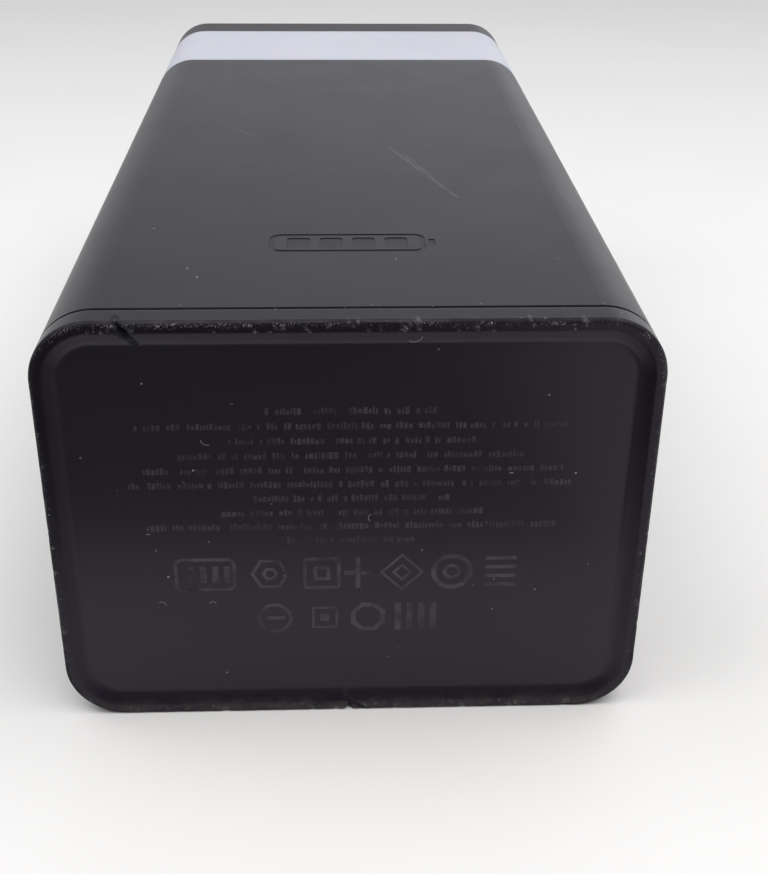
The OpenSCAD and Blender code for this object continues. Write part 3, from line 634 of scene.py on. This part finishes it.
def add_object(name, mesh, material, body):
    """Adds a detailed piece that rides a body and counts under a material slot."""
    made = bpy.data.objects.new(name, mesh)
    bpy.context.scene.collection.objects.link(made)
    mesh.materials.append(material)
    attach(made, body)
    return made


def arc(centre, radius, start, end, steps):
    """Points on an arc from start to end, in degrees."""
    turns = [math.radians(start + (end - start) * k / steps) for k in range(steps + 1)]
    return [(centre[0] + radius * math.cos(t), centre[1] + radius * math.sin(t)) for t in turns]


def rounded_outline(w, h, r, steps=12):
    """Corner points of a rounded rectangle round the origin, anticlockwise."""
    points = []
    for k, (sx, sy) in enumerate(((1, 1), (-1, 1), (-1, -1), (1, -1))):
        points += arc((sx * (w / 2 - r), sy * (h / 2 - r)), r, 90 * k, 90 * k + 90, steps)
    return points


def stations(spacing):
    """Anchor and outward direction of closely spaced points round the pack's outline."""
    half_x, half_z = WIDE / 2 - CORNER_R, TALL / 2 - CORNER_R
    made = []
    for k, (sx, sz) in enumerate(((1, 1), (-1, 1), (-1, -1), (1, -1))):
        anchor = Vector((sx * half_x, sz * half_z))
        turns = round(CORNER_R * math.pi / 2 / spacing)
        for i in range(turns):
            t = math.radians(90 * (k + i / turns))
            made.append((anchor, Vector((math.cos(t), math.sin(t)))))
        t = math.radians(90 * (k + 1))
        run = (half_x if k % 2 == 0 else half_z) * 2
        way = Vector((-math.sin(t), math.cos(t)))
        steps = round(run / spacing)
        made += [(anchor + way * run * i / steps, Vector((math.cos(t), math.sin(t)))) for i in range(steps)]
    return made


def swept_shell(name, profile, spacing, shape):
    """Closed body from a profile of (inset, y) swept round the outline and capped at both ends.
    shape(point, inset, y, out) gives the moved point, how chipped it is, and how much dark grime and painted
    shade it gets."""
    round_points = stations(spacing)
    count = len(round_points)
    verts, chips, dirt_and_shade_values = [], [], []
    for inset, y in profile:
        for anchor, out in round_points:
            flat = anchor + out * (CORNER_R - inset)
            point, chip, dirt_and_shade = shape(Vector((flat[0], y, MID_Z + flat[1])), inset, y, out)
            verts.append(point)
            chips.append(chip)
            dirt_and_shade_values.append(dirt_and_shade)
    faces = [list(range(count - 1, -1, -1)), [(len(profile) - 1) * count + i for i in range(count)]]
    for ring in range(len(profile) - 1):
        for i in range(count):
            j = (i + 1) % count
            a, b = ring * count, (ring + 1) * count
            faces.append([a + i, a + j, b + j, b + i])
    mesh = bpy.data.meshes.new(name)
    mesh.from_pydata(verts, [], faces)
    for tag, values in (("chip", chips), ("dirt_and_shade", dirt_and_shade_values)):
        mesh.attributes.new(tag, "FLOAT", "POINT").data.foreach_set("value", values)
    recalculate_normals(mesh)
    mesh.shade_smooth()
    return mesh


def recalculate_normals(mesh):
    bm = bmesh.new()
    bm.from_mesh(mesh)
    bmesh.ops.recalc_face_normals(bm, faces=bm.faces)
    bm.to_mesh(mesh)
    bm.free()


def print_mesh(name, shapes, level, height, facing):
    """Thin raised print: each shape is an outline of (x, z) points, or a pair of outer and inner ones."""
    bm = bmesh.new()
    for shape in shapes:
        ringed = isinstance(shape[0], list)
        loops = shape if ringed else [shape]
        low = [[bm.verts.new((x, level, z)) for x, z in loop] for loop in loops]
        top = [[bm.verts.new((x, level + facing * height, z)) for x, z in loop] for loop in loops]
        for under, over in zip(low, top):
            for i in range(len(under)):
                j = (i + 1) % len(under)
                bm.faces.new((under[i], under[j], over[j], over[i]))
        for side in (low, top):
            if not ringed:
                bm.faces.new(side[0])
                continue
            outer, inner = side
            for i in range(len(outer)):
                j = (i + 1) % len(outer)
                bm.faces.new((outer[i], outer[j], inner[j], inner[i]))
    bmesh.ops.recalc_face_normals(bm, faces=bm.faces)
    mesh = bpy.data.meshes.new(name)
    bm.to_mesh(mesh)
    bm.free()
    return mesh


def moved(points, x, z):
    return [(px + x, pz + z) for px, pz in points]


def bar(x0, x1, z0, z1):
    return [(x0, z0), (x1, z0), (x1, z1), (x0, z1)]


def ring(x, z, r, line, sides=32, turn=0.0):
    full = [math.radians(turn + 360 * k / sides) for k in range(sides)]
    return [[(x + q * math.cos(t), z + q * math.sin(t)) for t in full] for q in (r, r - line)]


# ---- Base cap with its knocks ----

RNG = random.Random(84)
UPPER_CHIPS, LOWER_CHIPS, SIDE_CHIPS = 60, 26, 7


def drawn(low, high):
    """A random length between two that are given in mm."""
    return RNG.uniform(low, high) * MM


# Shallow chips in the upper rim, the lower rim and the rim's two sides: x, z, reach and depth
KNOCKS = [
    (drawn(-34, 35), TALL - drawn(0.1, 1.6), drawn(0.25, 0.5), drawn(0.02, 0.07))
    for _ in range(UPPER_CHIPS)
]
KNOCKS += [
    (drawn(-33, 33), drawn(0, 1.3), drawn(0.3, 0.7), drawn(0.05, 0.16))
    for _ in range(LOWER_CHIPS)
]
KNOCKS += [
    (side * (WIDE / 2 - drawn(0, 1.2)), drawn(10, 54), drawn(0.25, 0.6), drawn(0.04, 0.12))
    for side in (-1, 1) for _ in range(SIDE_CHIPS)
]

# A cut across the rim and slope at the upper left: from, to, half width and depth
CUT = (Vector((-30.3, 63.6)) * MM, Vector((-27.4, 59.8)) * MM, 0.58 * MM, 1.2 * MM)
# Small splits at the middle of the lower rim: from, to, half width and depth
SPLITS = [
    (Vector((-1.6, 3.9)) * MM, Vector((-0.2, 1.2)) * MM, 0.32 * MM, 0.3 * MM),
    (Vector((-0.2, 1.5)) * MM, Vector((-0.6, -0.4)) * MM, 0.55 * MM, 0.55 * MM),
    (Vector((-0.2, 1.6)) * MM, Vector((1.6, 0.5)) * MM, 0.3 * MM, 0.25 * MM),
]

# How fast the rim's unevenness and the torn outlines of the cut and the chips change, per metre
RIM_WAVES, CUT_TORN, CHIP_TORN = 450, 1500, 2500
# How far behind the foot face the knocks fade out
KNOCK_REACH = 1.6 * MM


def distance_to(flat, start, end):
    """Distance from a line piece, and the share of the way along it."""
    way = end - start
    share = max(0.0, min(1.0, (flat - start).dot(way) / way.length_squared))
    return (flat - start - way * share).length, share


def knocked(point, inset, y, out):
    """Pushes the rim in where it is cut, split, chipped and unevenly worn."""
    flat = Vector((point[0], point[2]))
    near_face = max(0.0, 1 - (y - FOOT_Y) / KNOCK_REACH)
    if near_face == 0.0 or inset > RIM_W + SLOPE_W + 0.2 * MM:
        return point, 0.0, 0.0
    # The third value is dark grime and painted shade, strongest in the middle of the cut and the splits.
    sink, chip, dirt_and_shade = 0.0, 0.0, 0.0
    start, end, half, depth = CUT
    away, share = distance_to(flat, start, end)
    half *= 0.35 + 0.65 * math.sin(math.pi * min(1.0, 0.18 + share * 0.8))
    half *= 1 + 0.7 * noise.noise(Vector((point[0], point[2], 1)) * CUT_TORN)
    if away < half:
        sink = max(sink, depth * (1 - (away / half) ** 1.5) * (1 - 0.6 * share))
        dirt_and_shade = min(1.0, 1.6 * (1 - away / half))
    for start, end, half, depth in SPLITS:
        away, share = distance_to(flat, start, end)
        if away < half:
            sink = max(sink, depth * (1 - (away / half) ** 2))
            dirt_and_shade = max(dirt_and_shade, 0.7 * (1 - away / half))
    if inset < RIM_W + 0.2 * MM:
        uneven = noise.noise(Vector((point[0], point[2], 0)) * RIM_WAVES)
        sink = max(sink, 0.05 * MM * max(0.0, uneven))
        for x, z, reach, depth in KNOCKS:
            dx, dz = point[0] - x, point[2] - z
            if abs(dx) < reach and abs(dz) < reach:
                torn = abs(noise.noise(Vector((point[0], point[2], 2)) * CHIP_TORN))
                away = math.hypot(dx, dz) * (1 + 0.9 * torn)
                if away < reach:
                    sink = max(sink, depth * (1 - (away / reach) ** 2))
                    chip = max(chip, min(1.0, 1.3 * (1 - away / reach)))
    side = Vector((-out[0], 0, -out[1])) * (sink * 0.45 if inset < FOOT_FILLET else 0.0)
    return point + Vector((0, sink * near_face, 0)) + side * near_face, chip, dirt_and_shade * near_face ** 3


def base_cap():
    """Foot cap: panel, slope, rim, filleted edge, side, seam ledge and the spigot inside the sleeve."""
    slope_top = RIM_W + SLOPE_W
    profile = [(slope_top + 1.2 * MM, PANEL_Y), (slope_top + 0.5 * MM, PANEL_Y)]
    profile += [(slope_top + 0.15 * MM, PANEL_Y - 0.01 * MM), (slope_top - 0.1 * MM, PANEL_Y - 0.07 * MM)]
    slope_steps = 8
    for k in range(1, slope_steps):
        share = k / slope_steps
        profile.append((slope_top - share * SLOPE_W, PANEL_Y - share * RECESS))
    profile += [(RIM_W + 0.06 * MM, FOOT_Y + 0.045 * MM), (RIM_W - 0.08 * MM, FOOT_Y + 0.005 * MM)]
    profile += [(RIM_W - (0.22 + 0.22 * k) * MM, FOOT_Y) for k in range(4)]
    profile += arc((FOOT_FILLET, FOOT_Y + FOOT_FILLET), FOOT_FILLET, 270, 180, 8)
    profile += [(0, FOOT_Y + z * MM) for z in (0.7, 1.1, 1.8, 2.8, 3.8)]
    profile += arc((EDGE_BREAK, FOOT_Y + BASE_SIDE - EDGE_BREAK), EDGE_BREAK, 180, 90, 3)
    profile += [(2 * EDGE_BREAK, FOOT_Y + BASE_SIDE), (SPIGOT_U - 0.05 * MM, FOOT_Y + BASE_SIDE)]
    profile.append((SPIGOT_U, FOOT_Y + BASE_SIDE + 0.05 * MM))
    profile += [(SPIGOT_U, FOOT_Y + SPIGOT_END - 0.3 * MM), (SPIGOT_U + 0.3 * MM, FOOT_Y + SPIGOT_END)]
    profile += [(SPIGOT_IN_U - 0.2 * MM, FOOT_Y + SPIGOT_END), (SPIGOT_IN_U, FOOT_Y + SPIGOT_END - 0.2 * MM)]
    profile += [(SPIGOT_IN_U, FOOT_Y + PANEL_IN + 0.1 * MM), (SPIGOT_IN_U + 0.1 * MM, FOOT_Y + PANEL_IN)]
    profile += [(SPIGOT_IN_U + 0.6 * MM, FOOT_Y + PANEL_IN)]
    mesh = swept_shell("foot_cap", profile, 0.22 * MM, knocked)
    made = add_object("foot_cap", mesh, base_black(), "pack")
    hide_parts("base_cap")


# ---- Print on the foot panel ----

# Centred rows of small print, in mm
ROW_WIDTHS = (23, 58, 33, 47, 58, 61, 27, 37, 57, 18)
ROW_PITCH, TOP_ROW_Z = 2.26, 50


def greeked_rows(draw):
    """Rows of plain blocks, in word-long runs, that stand for small print without any letters."""
    shapes = []
    for row, wide in enumerate(ROW_WIDTHS):
        x, right = -wide / 2, wide / 2
        z = TOP_ROW_Z - row * ROW_PITCH
        while x < right - 0.6:
            word_end = min(right, x + draw.uniform(2.2, 7.0))
            while x < word_end:
                block = draw.uniform(0.22, 0.6)
                low, high = z - draw.uniform(0.30, 0.50), z + draw.uniform(0.25, 0.66)
                if draw.random() < 0.88:
                    shapes.append([(a * MM, b * MM) for a, b in bar(x, x + block, low, high)])
                x += block + 0.16
            x += 0.75
    return shapes


def hollow(x, z, wide, high, r, line, steps):
    """Outer and inner outline of a rounded rectangular frame."""
    inner_r = max(r - line, 0.05 * MM)
    inner = rounded_outline(wide - 2 * line, high - 2 * line, inner_r, steps)
    return [moved(rounded_outline(wide, high, r, steps), x, z), moved(inner, x, z)]


def plain_symbols():
    """Two rows of plain geometric figures in place of the label's marks."""
    line, big = 0.55 * MM, 2.8 * MM
    z1, z2 = 24.1 * MM, 16.4 * MM

    def frame_of(x, z, wide, high, r):
        return hollow(x * MM, z, wide * MM, high * MM, r * MM, line, 4)

    def block(x0, x1, z, below, above):
        return bar(x0 * MM, x1 * MM, z - below * MM, z + above * MM)

    shapes = [frame_of(-20.8, z1, 8.8, 5.6, 1.2)]
    shapes += [block(-23.2 + 1.7 * k, -22.3 + 1.7 * k, z1, 1.4, 1.4) for k in range(4)]
    shapes.append(ring(-11.6 * MM, z1, big, line, 6))
    shapes.append(ring(-11.6 * MM, z1, 1.2 * MM, line, 6))
    shapes.append(frame_of(-4.2, z1, 5.4, 5.4, 0.6))
    shapes.append(frame_of(-4.2, z1, 2.4, 2.4, 0.3))
    shapes.append(block(0.6, 1.3, z1, 2.6, 2.6))
    shapes += [block(-1.0, 0.5, z1, 0.35, 0.35), block(1.4, 2.9, z1, 0.35, 0.35)]
    shapes.append(ring(7.25 * MM, z1, 3.2 * MM, line, 4))
    shapes.append(ring(7.25 * MM, z1, 1.5 * MM, line, 4))
    shapes.append(ring(14.4 * MM, z1, big + 0.2 * MM, line * 1.3))
    shapes.append(ring(14.4 * MM, z1, 1.3 * MM, line))
    shapes += [block(19.2, 23.6, z1 + (1.9 - 1.5 * k) * MM, 0, 0.6) for k in range(4)]
    shapes.append(ring(-11.1 * MM, z2, 2.6 * MM, line))
    shapes.append(block(-12.6, -9.6, z2, 0.3, 0.3))
    shapes.append(ring(-3.85 * MM, z2, 2.7 * MM, line, 4, 45))
    shapes.append(block(-4.5, -3.2, z2, 0.65, 0.65))
    shapes.append(ring(2.4 * MM, z2, 2.7 * MM, line * 1.4, 8, 22.5))
    shapes += [block(6.3 + 1.7 * k, 7.2 + 1.7 * k, z2, 2.4, 2.4) for k in range(4)]
    return shapes


def foot_print():
    """Raised print on the recessed panel, too thin to feel."""
    shapes = greeked_rows(random.Random(5)) + plain_symbols()
    mesh = print_mesh("foot_print", shapes, PANEL_Y + 0.02 * MM, 0.035 * MM, -1)
    add_object("foot_print", mesh, panel_ink(), "pack")


# ---- Control face ----

def control_inlay():
    """Smoked inlay with softened edges and an opening for each socket and the button."""
    wide, high = INLAY_HI[0] - INLAY_LO[0], INLAY_HI[2] - INLAY_LO[2]
    soft = 0.12 * MM

    def hole(node, w, h, r):
        return moved(rounded_outline(w * MM, h * MM, r * MM, 6), *middle(node))

    outlines = [
        moved(rounded_outline(wide, high, INLAY_R), *middle("control_panel")),
        hole("usb_a_shell_left", 13.6, 6.2, 0.6),
        hole("usb_a_shell_right", 13.6, 6.2, 0.6),
        hole("usb_c_shell", 9.4, 3.8, 1.8),
        hole("micro_usb_shell", 8.0, 3.3, 0.8),
        arc((BUTTON_X, BUTTON_Z), BUTTON_R + BUTTON_GAP, 0, 360, 64)[:-1],
    ]
    curve = bpy.data.curves.new("control_inlay", "CURVE")
    curve.dimensions = "2D"
    curve.fill_mode = "BOTH"
    curve.extrude = (INLAY_HI[1] - INLAY_LO[1]) / 2 - soft
    curve.bevel_depth = soft
    curve.bevel_resolution = 2
    curve.offset = -soft
    for points in outlines:
        spline = curve.splines.new("POLY")
        spline.points.add(len(points) - 1)
        for p, (x, z) in zip(spline.points, points):
            p.co = (x, z, 0, 1)
        spline.use_cyclic_u = True
    flat = bpy.data.objects.new("inlay_curve", curve)
    bpy.context.scene.collection.objects.link(flat)
    mesh = bpy.data.meshes.new_from_object(flat.evaluated_get(bpy.context.evaluated_depsgraph_get()))
    bpy.data.objects.remove(flat)
    middle_y = (INLAY_LO[1] + INLAY_HI[1]) / 2
    mesh.transform(Matrix.Translation((0, middle_y, 0)) @ Matrix.Rotation(math.pi / 2, 4, "X"))
    mesh.name = "control_inlay"
    weld = bmesh.new()
    weld.from_mesh(mesh)
    bmesh.ops.remove_doubles(weld, verts=weld.verts, dist=0.002 * MM)
    bmesh.ops.recalc_face_normals(weld, faces=weld.faces)
    weld.to_mesh(mesh)
    weld.free()
    mesh.materials.clear()
    made = add_object("control_inlay", mesh, smoked_gloss(), "pack")
    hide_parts("control_panel")


def control_marks():
    """Plain printed signs: an arrow over each socket, and the display's frame."""
    shapes = []
    for node in ("usb_a_shell_left", "usb_a_shell_right", "usb_c_shell", "micro_usb_shell"):
        x, z = middle(node)[0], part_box(node)[1][2] + 2.4 * MM
        # Power comes in through the last socket, so its arrow points the other way
        tip = -0.9 * MM if node == "micro_usb_shell" else 0.9 * MM
        shapes.append([(x - 0.8 * MM, z - tip * 0.2), (x + 0.8 * MM, z - tip * 0.2), (x, z + tip)])
        shapes.append(bar(x - 0.2 * MM, x + 0.2 * MM, *sorted((z - tip, z - tip * 0.25))))
    shapes.append(hollow(*middle("display_module"), 24 * MM, 13 * MM, 1.4 * MM, 0.25 * MM, 6))
    mesh = print_mesh("control_marks", shapes, INLAY_HI[1] - 0.01 * MM, 0.03 * MM, 1)
    add_object("control_marks", mesh, face_ink(), "pack")


def digit_bars(x, z, which):
    """Outlines of a seven-bar digit's bars: 0 to 2 lie across, from the top, and the rest stand."""
    long, thick, step = 3.4 * MM, 0.8 * MM, 3.6 * MM
    tip, flat, half = long / 2, (long - thick) / 2, thick / 2
    lying = [(-tip, 0), (-flat, half), (flat, half), (tip, 0), (flat, -half), (-flat, -half)]
    standing = [(-b, a) for a, b in lying]
    places = [(lying, 0, (1 - k) * step) for k in range(3)]
    places += [(standing, side * step / 2, up * step / 2) for side in (-1, 1) for up in (-1, 1)]
    return [moved(shape, x + dx, z + dz) for k, (shape, dx, dz) in enumerate(places) if k in which]


def unlit_digits():
    """Three unlit digits, faint on the smoked face: a half place, then two whole ones."""
    x, z = middle("display_module")
    pitch = 6.2 * MM
    shapes = digit_bars(x + pitch, z, (3, 4)) + digit_bars(x, z, range(7))
    shapes += digit_bars(x - pitch, z, range(7))
    s = Shader("unlit_digits")
    s.set(Base_Color=s.mix(s.noise(1.5 * MM, seed=86), (0.020, 0.020, 0.022), (0.028, 0.028, 0.030)))
    s.set(Coat_Weight=0.4)
    s.roughen(2 * MM, 87, 0.1, 0.16)
    mesh = print_mesh("unlit_digits", shapes, INLAY_HI[1] - 0.02 * MM, 0.03 * MM, 1)
    add_object("unlit_digits", mesh, s.material, "pack")


def power_sign():
    """The usual open ring and stroke, on the dished button, so it travels with it."""
    r, line = 1.5 * MM, 0.28 * MM
    opening, steps = 35, 28
    outer = arc((0, 0), r, 90 + opening, 450 - opening, steps)
    inner = arc((0, 0), r - line, 90 + opening, 450 - opening, steps)
    shapes = [[outer[k], outer[k + 1], inner[k + 1], inner[k]] for k in range(steps)]
    shapes.append(bar(-line / 2, line / 2, 0.45 * MM, 1.75 * MM))
    shapes = [moved(shape, BUTTON_X, BUTTON_Z) for shape in shapes]
    dish_floor = BUTTON_HI[1] - BUTTON_DISH
    mesh = print_mesh("power_sign", shapes, dish_floor - 0.02 * MM, 0.06 * MM, 1)
    bm = bmesh.new()
    bm.from_mesh(mesh)
    bmesh.ops.remove_doubles(bm, verts=bm.verts, dist=0.001 * MM)
    bm.to_mesh(mesh)
    bm.free()
    add_object("power_sign", mesh, face_ink(), "button")


def contacts():
    """Gold-plated contact strips on the tongues of the sockets."""
    gold = plated("contact_gold", (0.85, 0.62, 0.24), 0.2, 341)
    bm = bmesh.new()

    def strip(x, z, wide, high, y0, y1):
        size = Matrix.Diagonal((wide, y1 - y0, high, 1))
        bmesh.ops.create_cube(bm, size=1, matrix=Matrix.Translation((x, (y0 + y1) / 2, z)) @ size)

    a_pins, c_pins = 4, 12
    for node in ("usb_a_shell_left", "usb_a_shell_right"):
        x, z = middle(node)
        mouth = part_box(node)[1][1]
        for k in range(a_pins):
            shift = (k - (a_pins - 1) / 2) * 2.4 * MM
            strip(x + shift, z + 0.08 * MM, 1.1 * MM, 0.12 * MM, mouth - 9.5 * MM, mouth - 2 * MM)
    x, z = middle("usb_c_tongue")
    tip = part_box("usb_c_tongue")[1][1]
    for k in range(c_pins):
        shift = (k - (c_pins - 1) / 2) * 0.5 * MM
        for side in (-0.36 * MM, 0.36 * MM):
            strip(x + shift, z + side, 0.26 * MM, 0.06 * MM, tip - 4.2 * MM, tip - 0.4 * MM)
    bmesh.ops.bevel(bm, geom=bm.edges, offset=0.012 * MM, segments=1, affect="EDGES")
    mesh = bpy.data.meshes.new("contacts")
    bm.to_mesh(mesh)
    bm.free()
    add_object("contacts", mesh, gold, "pack")


# ---- Camera, lights and floor ----

FLOOR_SIZE = 2.5


def camera():
    """Looks down the pack from just over its foot end."""
    place = Vector((-2.35 * MM, FOOT_Y - 155.8 * MM, 130.1 * MM))
    down, aside, roll = math.radians(28.17), math.radians(2.49), math.radians(0.586)
    ahead = Vector((math.sin(aside) * math.cos(down), math.cos(aside) * math.cos(down), -math.sin(down)))
    right = ahead.cross(Vector((0, 0, 1))).normalized()
    up = right.cross(ahead)
    right, up = right * math.cos(roll) + up * math.sin(roll), up * math.cos(roll) - right * math.sin(roll)
    data = bpy.data.cameras.new("camera")
    data.sensor_width = 36
    data.lens = 54.27
    data.clip_start = 0.01
    made = bpy.data.objects.new("camera", data)
    made.matrix_world = Matrix.Translation(place) @ Matrix((right, up, -ahead)).transposed().to_4x4()
    bpy.context.scene.collection.objects.link(made)
    bpy.context.scene.camera = made


def softbox(name, place, towards, size, power, color=(1, 1, 1)):
    """A large soft light at a place, turned towards a point."""
    data = bpy.data.lights.new(name, "AREA")
    data.shape = "RECTANGLE"
    data.size, data.size_y = size
    data.energy = power
    data.color = color
    made = bpy.data.objects.new(name, data)
    made.location = place
    made.rotation_euler = (Vector(towards) - Vector(place)).to_track_quat("-Z", "Y").to_euler()
    bpy.context.scene.collection.objects.link(made)


def studio_world():
    """Soft surround: it lights more from beyond the lamp end, and looks like a plain pale wall."""
    world = bpy.data.worlds.new("studio")
    bpy.context.scene.world = world
    world.use_nodes = True
    tree = world.node_tree
    way = tree.nodes.new("ShaderNodeTexCoord").outputs["Generated"]
    split = tree.nodes.new("ShaderNodeSeparateXYZ")
    tree.links.new(way, split.inputs[0])

    def span(value, low, high, out_low, out_high):
        made = tree.nodes.new("ShaderNodeMapRange")
        tree.links.new(value, made.inputs["Value"])
        for key, number in (("From Min", low), ("From Max", high), ("To Min", out_low), ("To Max", out_high)):
            made.inputs[key].default_value = number
        return made.outputs["Result"]

    back = span(split.outputs[1], -0.45, 0.75, 0.12, 0.62)
    high = span(split.outputs[2], 0.12, 0.46, 1.40, 0.55)
    side = span(split.outputs[0], -0.3, 0.3, 0.80, 1.20)
    overhead = span(split.outputs[2], 0.6, 1.0, 0, 0.45)

    def joined(operation, a, b):
        made = tree.nodes.new("ShaderNodeMath")
        made.operation = operation
        tree.links.new(a, made.inputs[0])
        tree.links.new(b, made.inputs[1])
        return made.outputs[0]

    strength = joined("ADD", joined("MULTIPLY", joined("MULTIPLY", back, high), side), overhead)
    background = tree.nodes["Background"]
    background.inputs["Color"].default_value = (0.95, 0.955, 1.0, 1.0)
    tree.links.new(strength, background.inputs["Strength"])
    wall = tree.nodes.new("ShaderNodeBackground")
    wall.inputs["Color"].default_value = (0.66, 0.66, 0.65, 1.0)
    seen = tree.nodes.new("ShaderNodeMixShader")
    tree.links.new(tree.nodes.new("ShaderNodeLightPath").outputs["Is Camera Ray"], seen.inputs[0])
    tree.links.new(background.outputs[0], seen.inputs[1])
    tree.links.new(wall.outputs[0], seen.inputs[2])
    tree.links.new(seen.outputs[0], tree.nodes["World Output"].inputs["Surface"])


def floor():
    """Pale floor, with painted shade in front of the pack and far beyond it."""
    bpy.ops.mesh.primitive_plane_add(size=FLOOR_SIZE, location=(0, 0, 0))
    made = bpy.context.object
    made.name = "floor"
    s = Shader("floor")
    pale = s.mix(s.noise(60 * MM, seed=40), (0.835, 0.825, 0.81), (0.865, 0.855, 0.845))
    # Painted shade: the floor darkens towards the camera and far behind the pack.
    front_shade = s.span(s.y, FOOT_Y - 0.12, FOOT_Y + 0.01, 0.5, 0)
    beyond = s.span(s.y, 0.12, 0.80, 0, 0.5)
    s.set(Base_Color=s.mix(s.most(front_shade, beyond), pale, (0.60, 0.595, 0.59)))
    s.roughen(20 * MM, 41, 0.5, 0.6)
    made.data.materials.append(s.material)


def dim_card():
    """Stands for the dark room in front of the table. Only reflections meet it."""
    near, far, left, right = FOOT_Y - 0.042, FOOT_Y - 0.75, -0.55, 0.045
    mesh = bpy.data.meshes.new("dim_card")
    corners = [(left, far, MM), (right, far, MM), (right, near, MM), (left, near, MM)]
    mesh.from_pydata(corners, [], [(0, 1, 2, 3)])
    made = bpy.data.objects.new("dim_card", mesh)
    bpy.context.scene.collection.objects.link(made)
    s = Shader("dim_card")
    s.set(Base_Color=s.mix(s.noise(50 * MM, seed=43), (0.02, 0.02, 0.025), (0.03, 0.03, 0.035)))
    s.set(Roughness=0.9)
    mesh.materials.append(s.material)
    made.visible_camera = made.visible_diffuse = made.visible_transmission = made.visible_shadow = False


def studio():
    studio_world()
    softbox("key", (0.33, FOOT_Y - 0.17, 0.90), (0, FOOT_Y + 0.05, 0), (1.2, 0.9), 8.3, (1, 0.995, 0.985))
    softbox("fill", (-0.55, FOOT_Y - 0.02, 0.8), (-0.05, FOOT_Y + 0.07, 0), (0.8, 0.8), 4.4)
    dim_card()
    floor()
    bpy.context.scene.view_settings.view_transform = "Standard"


camera()
studio()
paint(shell_black(), "body_sleeve")
paint(cap_black(), "top_cap")
paint(milky(), "lamp_diffuser")
paint(button_satin(), "power_button")
paint_inside()
base_cap()
foot_print()
control_inlay()
control_marks()
unlit_digits()
power_sign()
contacts()
